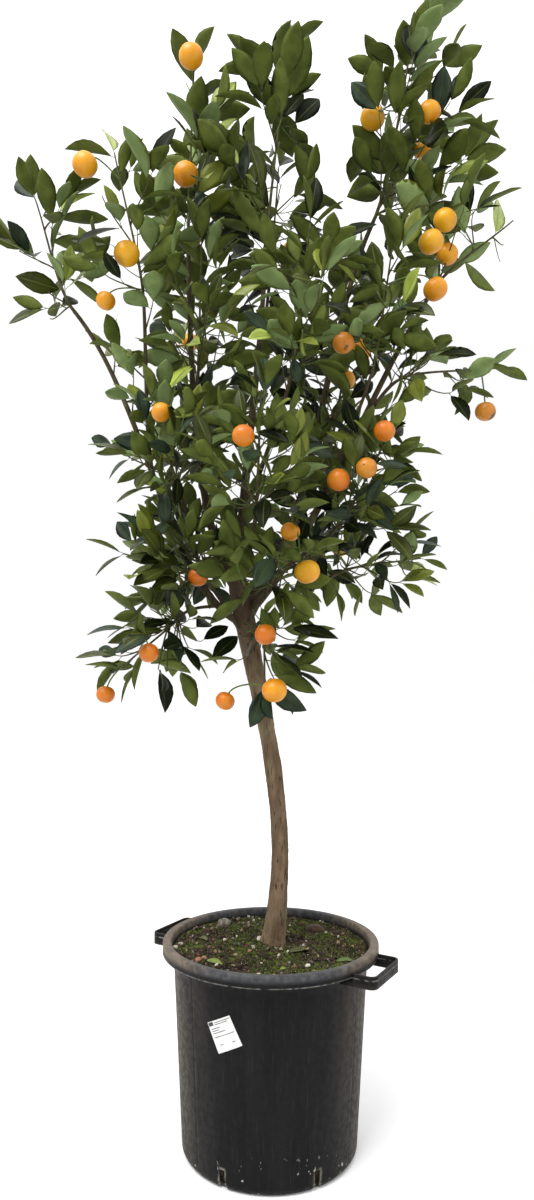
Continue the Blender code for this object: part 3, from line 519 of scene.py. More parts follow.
paper = mottled_material("label_paper_white", (204, 204, 203), (190, 190, 187), 0.55, 0.4,
                         Scale=160.0, From=0.4, To=0.7)
sheet = slab((-0.5, -0.5), (0.5, 0.5), CLEAR, CLEAR + LABEL_THICKNESS, 9)
label = outward(add_mesh("label_sheet", *sheet, [paper], smooth=False))
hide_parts("label")
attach(label, "root")
ink = mottled_material("printed_line_grey", (40, 41, 46), (84, 84, 90), 0.6, 0.3,
                       Scale=900.0, From=0.35, To=0.75)
rules = [((left - 0.5, level - 0.5 - RULE_HEIGHT), (right - 0.5, level - 0.5))
         for left, right, level in RULED_LINES]
for k, corners in enumerate((*rules, TAB)):
    line = outward(add_mesh(f"label_rule_{k}", *slab(*corners, INK_BACK, INK_FRONT, 5), [ink], smooth=False))
    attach(line, "root")


# The soil is dark potting mix that has settled to a crust: green moss over most of it, brown between,
# pale grit and crumbs, a few stones and clods, and fallen leaves.

SOIL_EDGE = 0.336
SOIL_MIDDLE = 0.342
SOIL_RADIUS = RIM_INSIDE - WALL - CLEAR
SOIL_STEPS = 300
SOIL_RINGS = 110
LUMPS = ((0.0016, 0.05, 11), (0.001, 0.014, 12), (0.0005, 0.005, 13))
LUMPS_FADE = 0.01
LUMPS_LEAST = 0.15
MOSS_LINE = (SOIL_EDGE - 0.01, SOIL_EDGE - 0.004)


def unit(vector):
    """A vector, or each row of an array, at length one."""
    return vector / np.linalg.norm(vector, axis=-1, keepdims=True)


def waves(points, size, seed, count=24):
    """Uneven relief: random sine waves added up, over the root of their count."""
    rng = np.random.default_rng(seed)
    course = unit(rng.normal(size=(count, 3)))
    rate = 2 * math.pi / (size * rng.uniform(0.5, 2.0, count))
    phase = rng.uniform(0, 2 * math.pi, count)
    return np.sin(points @ (course * rate[:, None]).T + phase).sum(axis=1) / math.sqrt(count)


def soil_height(x, y):
    """A low mound round the stem, plus three sizes of lumps that fade out at the wall."""
    radius = np.hypot(x, y)
    flat = np.stack((x, y, np.zeros_like(x)), axis=-1)
    lumps = sum(height * waves(flat, size, seed) for height, size, seed in LUMPS)
    mound = SOIL_EDGE + (SOIL_MIDDLE - SOIL_EDGE) * (1 - radius / SOIL_RADIUS)
    return mound + lumps * np.clip((SOIL_RADIUS - radius) / LUMPS_FADE, LUMPS_LEAST, 1.0)


def soil_material():
    """Moss in soft green patches, dark damp soil between, and pale grit, each by noise of its own size."""
    material, tree, body = new_material("mossy_soil", 0.95, 0.1)
    earth = tone(tree, (14, 11, 8), (58, 47, 35), Scale=70.0, Detail=8.0, From=0.4, To=0.65)["Colour"]
    moss = tone(tree, (24, 28, 10), (74, 86, 28), Scale=120.0, Detail=8.0, From=0.35, To=0.7)["Colour"]
    patches = mottle(tree, Scale=14.0, Detail=7.0, From=0.43, To=0.53)["Mask"]
    grit = mottle(tree, Scale=420.0, Detail=1.0, From=0.7, To=0.74)["Mask"]
    above = between(tree, own_place(tree)["Z"], *MOSS_LINE)
    colour = mixed(tree, times(tree, patches, above), earth, moss)
    tree.links.new(mixed(tree, grit, colour, linear(176, 164, 140)), body["Base Color"])
    roughen(tree, body, Scale=380.0, Height=0.003, Strength=1.0)
    return material


def make_soil():
    """Rings from the middle out to the wall, at the soil's height, closed by the container's inside."""
    share = np.linspace(0.0, 1.0, SOIL_RINGS)
    across = np.stack((SOIL_RADIUS * share, 0 * share), axis=1)
    down = ((SOIL_RADIUS, LIP), (WALL_TOP_RADIUS - WALL - CLEAR, WALL_TOP),
            (WALL_FOOT_RADIUS - WALL - CLEAR, FOOT_ROUND), (FOOT_FLAT - CLEAR, FLOOR + CLEAR),
            (0.0, FLOOR + CLEAR))
    points, faces = spun(np.vstack((across, down)), SOIL_STEPS)
    top = (SOIL_RINGS - 1) * SOIL_STEPS
    points[:top, 2] = soil_height(points[:top, 0], points[:top, 1])
    points[-2, 2] = soil_height(np.zeros(1), np.zeros(1))[0]
    return outward(add_mesh("potting_soil", points, faces, [soil_material()]))


soil = make_soil()
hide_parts("soil")
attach(soil, "root")


# Crumbs lie loose on the soil: grit, bark chips and clods, each an uneven eight-sided grain, and
# tufts of moss, each a leaning three-sided spike. The larger stones and clods have places of their own.

LITTER_EDGE = 0.004
GRAINS = 4600
GRAIN_SHARES = (0.03, 0.09, 0.44, 0.34, 0.08, 0.02)
GRAIN_SMALLEST = 0.0005
GRAIN_SPREAD = 0.0042
GRAIN_SHOWN = 0.4
TUFTS = 9000
TUFT_SHARES = (0.35, 0.4, 0.25)
TUFT_SIZES = (0.0012, 0.003)
TUFT_PATCH = 0.045
TUFT_LEAST = -0.25
TUFT_FOOT = 0.32
TUFT_LEAN = 0.45
STONES = ((-0.02, 0.007, 0.006, 0), (-0.088, 0.109, 0.015, 4), (0.082, 0.071, 0.0165, 3),
          (-0.167, -0.017, 0.005, 0), (-0.122, -0.076, 0.0065, 5), (-0.113, -0.066, 0.0048, 5),
          (-0.16, 0.004, 0.0042, 0), (0.03, 0.06, 0.0055, 1), (-0.06, -0.06, 0.0045, 1),
          (0.06, -0.11, 0.005, 0), (-0.02, -0.142, 0.0048, 0), (0.005, -0.148, 0.0042, 1))
STONE_STRETCH = (1.0, 0.85, 0.62)
STONE_WAVES = ((0.13, 1.4, 40), (0.05, 0.4, 60))
STONE_SHOWN = 0.25
CLOD = {"Scale": 480.0, "Height": 0.001, "Strength": 0.6}


def plain_material(name, ground, patch, scale, roughness=0.8, specular=0.3, relief=None):
    """A dull mottled finish of two near colours."""
    values = {"Scale": scale, "From": 0.38, "To": 0.64}
    return mottled_material(name, ground, patch, roughness, specular, relief, **values)


grit_materials = [
    plain_material("grit_white", (176, 170, 158), (146, 138, 122), 90.0),
    plain_material("grit_tan", (130, 112, 86), (98, 80, 60), 90.0),
    plain_material("chip_dark", (34, 26, 20), (56, 44, 33), 90.0),
    plain_material("clod_brown", (72, 52, 37), (42, 30, 22), 120.0, relief=CLOD),
    plain_material("clod_grey", (112, 107, 95), (66, 61, 53), 120.0, relief=CLOD),
    plain_material("grit_pink", (140, 94, 74), (112, 76, 60), 90.0),
]
moss_materials = [
    plain_material("moss_bright", (104, 116, 38), (74, 88, 28), 60.0),
    plain_material("moss_olive", (66, 70, 34), (46, 50, 24), 60.0),
    plain_material("moss_dark", (26, 32, 13), (18, 22, 10), 60.0),
]


def random_spots(count, seed):
    """Places spread evenly over the soil: radius as the root of a random share, and a random angle."""
    rng = np.random.default_rng(seed)
    radius = np.sqrt(rng.uniform(0.0, 1.0, count)) * (SOIL_RADIUS - LITTER_EDGE)
    x, y = around(rng.uniform(0, 2 * math.pi, count), radius).T
    return np.stack((x, y, soil_height(x, y)), axis=-1), rng


def random_turns(count, rng):
    """Rotation matrices at random: an orthogonal base made from two random directions each."""
    first = unit(rng.normal(size=(count, 3)))
    second = unit(np.cross(first, rng.normal(size=(count, 3))))
    return np.stack((first, second, np.cross(first, second)), axis=1)


def repeated(faces, count, corners):
    """The faces of one small piece for a number of pieces, whose corners are stored one after another."""
    faces = np.asarray(faces)
    return (faces + np.arange(count)[:, None, None] * corners).reshape(-1, faces.shape[1])


def make_grains():
    """Octahedra with jittered corners, scaled, turned and half sunk, in a few tints."""
    spots, rng = random_spots(GRAINS, 21)
    shape = np.array(((1, 0, 0), (-1, 0, 0), (0, 1, 0), (0, -1, 0), (0, 0, 1), (0, 0, -1)), float)
    shape = shape[None] * rng.uniform(0.6, 1.2, (GRAINS, 6, 1)) + rng.normal(scale=0.15, size=(GRAINS, 6, 3))
    size = GRAIN_SMALLEST + GRAIN_SPREAD * rng.uniform(0, 1, GRAINS) ** 6
    points = np.einsum("nij,nkj->nki", random_turns(GRAINS, rng), shape * size[:, None, None])
    points += spots[:, None, :] + (size * GRAIN_SHOWN)[:, None, None] * (0, 0, 1)
    faces = ((0, 2, 4), (2, 1, 4), (1, 3, 4), (3, 0, 4), (2, 0, 5), (1, 2, 5), (3, 1, 5), (0, 3, 5))
    tints = np.repeat(rng.choice(6, GRAINS, p=GRAIN_SHARES), 8)
    faces = repeated(faces, GRAINS, 6)
    return add_mesh("loose_grit", points.reshape(-1, 3), [faces], grit_materials, tints, smooth=False)


def make_tufts():
    """Three-sided spikes in patches: kept where low waves are high, each leaning at random."""
    spots, rng = random_spots(TUFTS * 2, 22)
    keep = waves(spots * (1, 1, 0), TUFT_PATCH, 31) > TUFT_LEAST
    spots = spots[keep][:TUFTS]
    count = len(spots)
    size = rng.uniform(*TUFT_SIZES, count)
    turn = rng.uniform(0, 2 * math.pi, (count, 1)) + np.radians((0, 120, 240))
    base = np.dstack((around(turn), np.full_like(turn, -0.6))) * (size * TUFT_FOOT)[:, None, None]
    lean = rng.normal(scale=TUFT_LEAN, size=(count, 2))
    tip = np.concatenate((lean, np.ones((count, 1))), axis=1) * size[:, None]
    points = np.concatenate((base, tip[:, None, :]), axis=1) + spots[:, None, :]
    faces = repeated(((0, 1, 3), (1, 2, 3), (2, 0, 3), (0, 2, 1)), count, 4)
    tints = np.repeat(rng.choice(3, count, p=TUFT_SHARES), 4)
    return add_mesh("moss_tufts", points.reshape(-1, 3), [faces], moss_materials, tints, smooth=False)


def ball(rings, sides):
    """Unit directions of a closed ball: rings of latitude between two poles, and its faces."""
    return spun(arc((0, 0), 1.0, -90, 90, rings + 2), sides)


def join_surfaces(name, surfaces, materials, tints=None):
    """Several closed surfaces put into one mesh, each with its own tint."""
    points, parts, marks, count = [], [], [], 0
    for k, (spots, faces) in enumerate(surfaces):
        points.append(spots)
        parts += [part + count for part in faces]
        marks += [np.full(len(part), tints[k] if tints else 0) for part in faces]
        count += len(spots)
    return add_mesh(name, np.vstack(points), parts, materials, np.concatenate(marks))


def make_stones():
    """The larger stones and clods: balls whose radius is pushed in and out by waves, flattened a little."""
    unit_points, faces = ball(10, 16)
    surfaces = []
    for k, (x, y, size, _) in enumerate(STONES):
        ground = soil_height(np.array([x]), np.array([y]))[0]
        relief = sum((part * waves(unit_points, wide, seed + k) for part, wide, seed in STONE_WAVES), 1)
        shape = unit_points * relief[:, None] * size * STONE_STRETCH
        surfaces.append((shape + (x, y, ground + size * STONE_SHOWN), faces))
    return outward(join_surfaces("stones_and_clods", surfaces, grit_materials, [row[3] for row in STONES]))


for litter in (make_grains(), make_tufts(), make_stones()):
    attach(litter, "root")


# The stem and the boughs are living wood under thin grey-brown bark. The stem leans in a slow S from
# its flared root to the fork, and every bough tapers from its base to the shoot that goes on from it.

STEM_BENDS = ((0.004, 0.0, SOIL_MIDDLE), (0.039, -0.01, 0.586), (-0.013, 0.012, 0.704),
              (-0.067, 0.0, 0.996))
STEM_STATIONS = (0.0, 0.015, 0.04, 0.09, 0.18, 0.35, 0.6, 0.8, 0.93, 0.975, 1.0)
STEM_DIAMETERS = (0.046, 0.0405, 0.0375, 0.035, 0.0305, 0.029, 0.03, 0.0345, 0.0385, 0.037, 0.027)
KNOTS = ((0.3, -1.2, 0.005), (0.42, 0.9, 0.0035), (0.585, -1.9, 0.0045), (0.71, -0.6, 0.004),
         (0.76, 2.4, 0.0045), (0.86, -1.5, 0.005), (0.9, 0.3, 0.005))
BOUGHS = {
    "bough_centre": ("stem", 0.95, (-0.02, -0.01, 1.56), 150, 84, 88, 0.022, 0.008),
    "bough_left": ("stem", 0.89, (-0.366, -0.04, 1.472), 188, 16, 50, 0.015, 0.007),
    "bough_right": ("stem", 0.91, (0.295, -0.02, 1.53), -28, 36, 58, 0.019, 0.0075),
    "bough_upper_left": ("stem", 0.955, (-0.165, 0.015, 1.61), 172, 52, 88, 0.018, 0.008),
    "bough_right_spire": ("stem", 0.945, (0.185, 0.01, 1.67), 14, 30, 66, 0.019, 0.008),
    "bough_back_left": ("stem", 0.93, (-0.115, 0.145, 1.24), 118, 38, 70, 0.017, 0.008),
    "bough_back_right": ("stem", 0.92, (0.105, 0.15, 1.24), 56, 34, 64, 0.017, 0.008),
    "bough_heart": ("stem", 0.94, (-0.03, -0.175, 1.08), -100, 30, 60, 0.014, 0.0065),
    "bough_low_left": ("stem", 0.865, (-0.128, -0.065, 0.985), 212, 20, 25, 0.011, 0.006),
    "bough_low_centre": ("stem", 0.885, (-0.008, -0.115, 0.968), -72, 18, 30, 0.01, 0.0055),
    "bough_low_right": ("stem", 0.865, (0.125, 0.005, 1.003), 5, 14, 24, 0.012, 0.006),
    "bough_centre_skirt": ("stem", 0.845, (-0.02, -0.088, 0.905), -80, 12, -12, 0.009, 0.0055),
    "bough_left_skirt": ("bough_low_left", 0.55, (-0.158, -0.085, 0.915), 235, -20, -45, 0.007, 0.005),
    "bough_left_shoulder": ("bough_left", 0.55, (-0.232, -0.09, 1.47), 240, 70, 76, 0.0085, 0.006),
    "bough_left_middle": ("bough_left", 0.24, (-0.165, -0.088, 1.138), -72, 20, 60, 0.008, 0.0055),
    "bough_mid_left": ("bough_upper_left", 0.56, (-0.138, -0.045, 1.36), -60, 45, 75, 0.009, 0.006),
    "bough_heart_upper": ("bough_centre", 0.3, (0.028, -0.108, 1.33), -65, 40, 68, 0.011, 0.0065),
    "bough_back_spire": ("bough_centre", 0.66, (-0.005, 0.15, 1.68), 85, 40, 74, 0.009, 0.006),
    "bough_right_inner": ("bough_right", 0.4, (0.172, -0.085, 1.35), -75, 40, 72, 0.008, 0.0055),
    "bough_right_middle": ("bough_right", 0.55, (0.215, -0.068, 1.335), -50, 30, 30, 0.009, 0.006),
    "bough_right_low": ("bough_right", 0.2, (0.105, -0.078, 1.065), -60, 20, 40, 0.009, 0.006),
    "bough_back_low_left": ("bough_back_left", 0.28, (-0.128, 0.135, 1.03), 140, 5, 10, 0.009, 0.006),
    "bough_back_low_right": ("bough_back_right", 0.26, (0.05, 0.132, 1.03), 75, 0, 10, 0.009, 0.006),
}
KNOT_SWELL = (0.42, 0.011, 0.55)
KNOT_HOLLOW = (0.18, 0.0045, 0.45)
BARK_RIDGES = ((0.2, 0.008, 0.65), (0.45, 0.0035, 0.35))
BARK_GIRTH = 0.015
LEAVE_PULL = 0.22
ARRIVE_PULL = 0.33
TAPER = 0.8
FULL_RELIEF_RADIUS = 0.012
SHADED_FROM = 0.78
SHADED_TO = 0.98


def cubic(controls, t):
    """Points and unit tangents of a cubic curve: the four controls weighted by (u + t) cubed, u = 1 - t."""
    a, b, c, d = (np.asarray(p, float) for p in controls)
    t = np.asarray(t, float)[:, None]
    u = 1.0 - t
    points = u**3 * a + 3 * u * u * t * b + 3 * u * t * t * c + t**3 * d
    return points, unit(u * u * (b - a) + 2 * u * t * (c - b) + t * t * (d - c))


def at(controls, share):
    """The point and the unit tangent at one share of a curve."""
    return (row[0] for row in cubic(controls, [share]))


def heading(azimuth, rise):
    """A unit vector at an angle from +X seen from above, and a rise above level, both in degrees."""
    a, e = math.radians(azimuth), math.radians(rise)
    return np.array((math.cos(e) * math.cos(a), math.cos(e) * math.sin(a), math.sin(e)))


def bend(start, end, leave, arrive):
    """Controls of a limb that leaves its start and arrives at its end in the given directions."""
    reach = np.linalg.norm(end - start)
    return start, start + leave * reach * LEAVE_PULL, end - arrive * reach * ARRIVE_PULL, end


def tapering(base, end):
    """A limb's radius as a function of its share t: base + (end - base) * t^0.8."""
    return lambda t: base + (end - base) * t**TAPER


def grow_limbs():
    """The stem and each bough as controls and a function of its share that gives its radius."""
    limbs = {"stem": (STEM_BENDS, lambda t: np.interp(t, STEM_STATIONS, STEM_DIAMETERS) / 2)}
    for name, (parent, share, tip, azimuth, rise, arrival, base, end) in BOUGHS.items():
        start, _ = at(limbs[parent][0], share)
        tip = np.array(tip)
        level = math.degrees(math.atan2(tip[1] - start[1], tip[0] - start[0]))
        controls = bend(start, tip, heading(azimuth, rise), heading(level, arrival))
        limbs[name] = controls, tapering(base / 2, end / 2)
    return limbs


def frames(tangents):
    """Two directions square to each tangent, carried along without twist."""
    side = np.cross(tangents[0], (0.31, 0.95, 0.02))
    sides = []
    for tangent in tangents:
        side = unit(side - tangent * side.dot(tangent))
        sides.append(side)
    return np.array(sides), np.cross(tangents, sides)


def limb_surface(controls, radius_of, rings, sides, relief=0.0, seed=0, knots=()):
    """A round limb: rings of radius r(t) square to the curve, pushed out by bark ridges that run along it.

    The ridges are waves of angle and length, stretched five times along the limb, plus finer pores. A
    knot at (share, angle, height) is a swelling with a hollow in its middle, each a bell of exp(-x^2).
    """
    t = np.linspace(0.0, 1.0, rings)
    points, tangents = cubic(controls, t)
    side, over = frames(tangents)
    turn = even_turns(sides)
    radius = radius_of(t)[:, None] * np.ones(sides)
    if relief:
        length = np.concatenate(((0,), np.cumsum(np.linalg.norm(np.diff(points, axis=0), axis=1))))
        grid = np.stack(np.broadcast_arrays(*around(turn, BARK_GIRTH).T, length[:, None]), axis=-1)
        ridges = sum(part * waves(grid.reshape(-1, 3) * (1, 1, squeeze), size, seed + k)
                     for k, (squeeze, size, part) in enumerate(BARK_RIDGES)).reshape(rings, sides)
        radius = radius + relief * ridges * np.minimum(radius / FULL_RELIEF_RADIUS, 1.0)
    for share, angle, height in knots:
        apart = np.abs(off_step(turn - angle, 2 * math.pi))[None, :]
        swell, hollow = (part * np.exp(-((apart / wide) ** 2) - ((t[:, None] - share) / tall) ** 2)
                         for wide, tall, part in (KNOT_SWELL, KNOT_HOLLOW))
        radius = radius + height * (swell - hollow)
    ring = side[:, None] * np.cos(turn)[:, None] + over[:, None] * np.sin(turn)[:, None]
    return capped(points[:, None] + ring * radius[..., None], points[0], points[-1])


def bark_material(name, ground, patch, streak, height, shaded=0.0):
    """Grey-brown bark: pale and dark patches drawn out along the limb, fine cracks, and a little green film.

    Where shaded is given, it paints shade: the bark goes darker up to the fork, towards the cracks' colour
    by that share.
    """
    material, tree, body = new_material(name, 0.85, 0.12)
    wood = tone(tree, ground, patch, Scale=60.0, Detail=8.0, From=0.36, To=0.66, Stretch=(1.0, 1.0, 0.28))
    cracks = mottle(tree, Scale=260.0, Detail=4.0, From=0.56, To=0.7, Stretch=(1.0, 1.0, 0.18))
    film = mottle(tree, Scale=22.0, Detail=5.0, From=0.55, To=0.75)
    colour = mixed(tree, cracks["Mask"], wood["Colour"], linear(*streak))
    colour = mixed(tree, between(tree, film["Mask"], 0.0, 1.0, 0.0, 0.35), colour, linear(104, 106, 78))
    if shaded:
        # Painted shade: the stem darkens with height up to the fork.
        shade = between(tree, own_place(tree)["Z"], SHADED_FROM, SHADED_TO, 0.0, shaded)
        colour = mixed(tree, shade, colour, linear(*streak))
    tree.links.new(colour, body["Base Color"])
    roughen(tree, body, Scale=320.0, Height=height, Strength=0.7, Stretch=(1.0, 1.0, 0.25))
    return material


limbs = grow_limbs()
stem_bark = bark_material("stem_bark_brown", (84, 68, 52), (110, 94, 74), (50, 38, 29), 0.0016, 0.65)
bough_bark = bark_material("bough_bark_olive", (54, 47, 33), (74, 66, 47), (36, 30, 22), 0.0008)
stem = join_surfaces("stem_wood", [limb_surface(*limbs["stem"], 420, 56, 0.0008, 0, KNOTS)], [stem_bark])
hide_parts("stem")
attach(stem, "root")
bough_surfaces = [limb_surface(*limbs[name], 90, 14, 0.0004, 100 + k) for k, name in enumerate(BOUGHS)]
boughs = join_surfaces("bough_wood", bough_surfaces, [bough_bark])
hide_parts(*BOUGHS)
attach(boughs, "root")


# Twigs go on from the boughs. In each mass a leading shoot crosses an ellipsoid, side shoots aim at
# points spread evenly over it, finer twigs fork off them, and short spurs stand on the bare boughs.

MASSES = {
    "foliage_left_wing": ((-0.41, -0.03, 1.575), (0.102, 0.12, 0.195), (-0.5, 0.0, 0.8)),
    "foliage_left_shoulder": ((-0.265, -0.1, 1.61), (0.118, 0.14, 0.19), (-0.3, 0, 1)),
    "foliage_upper_left": ((-0.15, 0.02, 1.8), (0.106, 0.16, 0.265), (-0.1, 0.1, 1)),
    "foliage_centre_spire": ((0.0, -0.02, 1.785), (0.108, 0.145, 0.285), (0.25, 0, 1)),
    "foliage_back_spire": ((0.0, 0.22, 1.78), (0.112, 0.13, 0.19), (0.1, 0.2, 1)),
    "foliage_right_spire": ((0.262, 0.0, 1.85), (0.152, 0.165, 0.26), (0.1, 0, 1)),
    "foliage_right_shoulder": ((0.365, -0.03, 1.62), (0.128, 0.16, 0.175), (0.9, 0, 0.4)),
    "foliage_right_middle": ((0.3, -0.06, 1.36), (0.142, 0.14, 0.122), (1, 0, 0.1)),
    "foliage_right_inner": ((0.19, -0.12, 1.48), (0.11, 0.135, 0.15), (0.2, -0.2, 1)),
    "foliage_heart_upper": ((0.05, -0.17, 1.45), (0.128, 0.165, 0.165), (0.1, -0.3, 1)),
    "foliage_mid_left": ((-0.13, -0.07, 1.47), (0.108, 0.15, 0.165), (0, -0.2, 1)),
    "foliage_left_middle": ((-0.18, -0.1, 1.22), (0.124, 0.155, 0.12), (-0.5, -0.3, 0.8)),
    "foliage_heart": ((-0.02, -0.21, 1.18), (0.12, 0.16, 0.14), (0, -0.4, 0.9)),
    "foliage_right_low": ((0.16, -0.1, 1.15), (0.122, 0.165, 0.148), (0.5, -0.2, 0.8)),
    "foliage_low_left": ((-0.19, -0.1, 1.02), (0.116, 0.155, 0.11), (-1, -0.2, 0.1)),
    "foliage_left_skirt": ((-0.205, -0.1, 0.875), (0.118, 0.13, 0.13), (-0.7, -0.1, -0.6)),
    "foliage_centre_skirt": ((-0.01, -0.14, 0.86), (0.106, 0.11, 0.116), (0, -0.3, -0.8)),
    "foliage_low_centre": ((-0.01, -0.2, 1.0), (0.125, 0.115, 0.1), (0.6, -0.5, 0.2)),
    "foliage_low_right": ((0.21, 0.02, 1.03), (0.116, 0.155, 0.098), (1, 0, 0.1)),
    "foliage_back_left": ((-0.15, 0.22, 1.44), (0.134, 0.17, 0.27), (-0.1, 0.1, 1)),
    "foliage_back_right": ((0.17, 0.22, 1.44), (0.175, 0.17, 0.27), (0.1, 0.1, 1)),
    "foliage_back_low_left": ((-0.17, 0.2, 1.08), (0.15, 0.165, 0.134), (-0.7, 0.5, 0.1)),
    "foliage_back_low_right": ((0.12, 0.2, 1.08), (0.16, 0.165, 0.134), (0.7, 0.5, 0.1)),
}
OTHER_BOUGHS = {"foliage_left_wing": "bough_left", "foliage_centre_spire": "bough_centre",
                "foliage_right_shoulder": "bough_right"}
SKY = (
    (-0.27, 1.93, 0.085, 0.11, 0.85), (0.118, 1.86, 0.045, 0.13, 0.85), (0.015, 1.71, 0.04, 0.04, 0.7),
    (0.05, 2.125, 0.06, 0.04, 0.5), (0.175, 2.08, 0.05, 0.05, 0.6), (-0.31, 1.7, 0.045, 0.13, 0.5),
    (-0.28, 1.5, 0.07, 0.09, 0.55), (0.4, 1.5, 0.1, 0.09, 0.85), (0.275, 1.285, 0.045, 0.045, 0.9),
    (0.365, 1.805, 0.045, 0.045, 0.5), (0.44, 1.63, 0.05, 0.05, 0.8), (-0.3, 1.28, 0.045, 0.05, 0.8),
    (-0.3, 1.03, 0.04, 0.045, 0.5), (0.19, 0.99, 0.05, 0.05, 0.4), (-0.215, 0.775, 0.05, 0.035, 0.9),
    (-0.49, 1.51, 0.06, 0.07, 0.6), (0.025, 1.78, 0.03, 0.03, 0.6), (-0.194, 2.074, 0.09, 0.057, 0.9),
    (0.026, 1.877, 0.036, 0.048, 0.6), (0.027, 1.715, 0.036, 0.048, 0.65), (-0.015, 1.63, 0.043, 0.029, 0.3),
    (-0.053, 1.5, 0.043, 0.062, 0.4), (-0.138, 1.414, 0.043, 0.086, 0.35), (0.231, 1.39, 0.072, 0.062, 0.35),
    (0.198, 1.029, 0.047, 0.048, 0.5), (-0.294, 0.942, 0.041, 0.043, 0.5),
    (-0.398, 1.703, 0.043, 0.043, 0.4), (-0.489, 1.787, 0.047, 0.043, 0.7),
    (-0.479, 1.434, 0.047, 0.048, 0.8),
)
VIEWER = np.array((-0.01, -1.533, 0.837))
GOLDEN_TURN = math.radians(137.508)
LEADER_REACH = 0.97
LEADER_SHARE = 0.95
LEADER_TIP_RADIUS = 0.0014
TWIG_RADII = (0.0019, 0.0009)
TWIGLET_RADII = (0.0011, 0.0007)
TWIG_GAP = 0.004
TWIGS_PER_AREA = 760.0
TWIG_SHARES = ((0.8, 1.7), (0.95, 1.9), (1.2, 1.6), (1.45, 1.0), (1.6, 0.78), (1.9, 0.82))
TWIG_SHORTEST = 0.022
TWIG_DEPTHS = (0.72, 0.97)
TWIG_SHIFT = 0.05
TWIG_BOW = 0.18
TWIG_STATIONS = (0.06, 0.93)
TWIG_FORWARD = 0.6
TWIG_RISE = (0, 0, 0.25)
TWIGLET_FORWARD = 0.75
TWIGLET_TIP_RISE = (0, 0, 0.7)
TWIGLET_STEP = 0.075
TWIGLET_LENGTHS = (0.022, 0.05)
TWIGLET_REACH = 0.86
BACKWARD = 0.62
FORWARD_ANGLE = math.radians(50.0)
TIP_LEAF = 0.05
SPUR_STEP = 0.075
SPUR_LENGTHS = (0.035, 0.085)
SPUR_GAP = 0.006
SPUR_FIRST = 0.34
SPUR_SHARE = 0.8
ROWS_AT_ONCE = 4000


def even_directions(count, turn):
    """Directions spread evenly over a sphere on a golden spiral, turned by an angle about +Z."""
    k = np.arange(count) + 0.5
    height = 1 - 2 * k / count
    return np.column_stack((around(k * GOLDEN_TURN + turn, np.sqrt(1 - height**2)), height))


share = np.linspace(0, 1, 60)
wood_points = np.concatenate([cubic(controls, share)[0] for controls, _ in limbs.values()])
wood_radii = np.concatenate([radius_of(share) for _, radius_of in limbs.values()])


def off_wood(points, gap):
    """For each row of points, whether all of them keep a gap from the surface of every limb."""
    near = [(np.linalg.norm(part[:, None] - wood_points, axis=2) - wood_radii).min(axis=1)
            for part in np.array_split(points.reshape(-1, 3), 1 + points.size // (3 * ROWS_AT_ONCE))]
    return (np.concatenate(near).reshape(points.shape[:-1]) > gap).all(axis=-1)


def grow_leader(name):
    """The leading shoot: it goes on from the bough's tip, through the ellipsoid, towards its far side."""
    centre, radii, lead = MASSES[name]
    controls, radius_of = limbs[OTHER_BOUGHS.get(name, name.replace("foliage", "bough"))]
    tip, tangent = at(controls, 1.0)
    end = np.array(centre) + unit(np.array(lead, float)) * radii * LEADER_REACH
    arrive = unit(end - tip)
    base = float(radius_of(np.ones(1))[0]) * LEADER_SHARE
    return bend(tip, end - arrive * TIP_LEAF, tangent, arrive), (base, LEADER_TIP_RADIUS)


def grow_twigs(controls, centre, radii, rng):
    """Side shoots of a leading shoot, each aimed at one of the directions spread evenly over the mass.

    A shoot leaves its leader where the line to its aim makes the forward angle with it, bows a little,
    and arrives rising. Aims that point back at the bough are left out, and so are shoots through wood.
    """
    first, last = controls[0], controls[3]
    size = float(np.prod(radii)) ** (1 / 3)
    crowding = np.interp(centre[2], *np.transpose(TWIG_SHARES))
    aims = even_directions(round(TWIGS_PER_AREA * crowding * size * size), rng.uniform(0, 2 * math.pi))
    back = unit((first - centre) / radii)
    reach = np.linalg.norm(last - first)
    chord = (last - first) / reach
    twigs = []
    for aim in aims:
        depth, shift = rng.uniform(*TWIG_DEPTHS), rng.uniform(-TWIG_SHIFT, TWIG_SHIFT)
        bow = rng.normal(scale=TWIG_BOW, size=3)
        if aim.dot(back) > BACKWARD:
            continue
        goal = centre + aim * radii * depth
        ahead = (goal - first).dot(chord)
        aside = np.linalg.norm(goal - first - chord * ahead)
        station = np.clip((ahead - aside / math.tan(FORWARD_ANGLE)) / reach + shift, *TWIG_STATIONS)
        start, forward = at(controls, station)
        out = unit(goal - start)
        arrive = unit(out + TWIG_RISE)
        end = goal - arrive * TIP_LEAF
        twig = bend(start, end, unit(out + forward * TWIG_FORWARD + bow), unit(arrive + bow))
        line = cubic(twig, np.linspace(0.2, 1, 10))[0]
        if (end - start).dot(out) >= TWIG_SHORTEST and off_wood(line, TWIG_GAP):
            twigs.append(twig)
    return twigs


def spiral(tangent, angle):
    """Directions square to each tangent, turned round it by an angle."""
    side = unit(np.cross(tangent, (0.1, 0.05, 1.0)))
    over = np.cross(tangent, side)
    angle = np.asarray(angle)[..., None]
    return side * np.cos(angle) + over * np.sin(angle)


def grow_side_shoots(twig, step, lengths, rng, first=0.25):
    """Finer shoots that leave a twig in a golden spiral and bend upward."""
    reach = np.linalg.norm(twig[3] - twig[0])
    shoots = []
    turn = rng.uniform(0, 2 * math.pi)
    for k, share in enumerate(np.arange(first, TWIG_STATIONS[1], step / reach)):
        start, tangent = at(twig, share)
        leave = unit(tangent * TWIGLET_FORWARD + spiral(tangent, turn + k * GOLDEN_TURN))
        end = start + unit(leave + TWIG_RISE) * rng.uniform(*lengths)
        shoots.append(bend(start, end, leave, unit(leave + TWIGLET_TIP_RISE)))
    return shoots


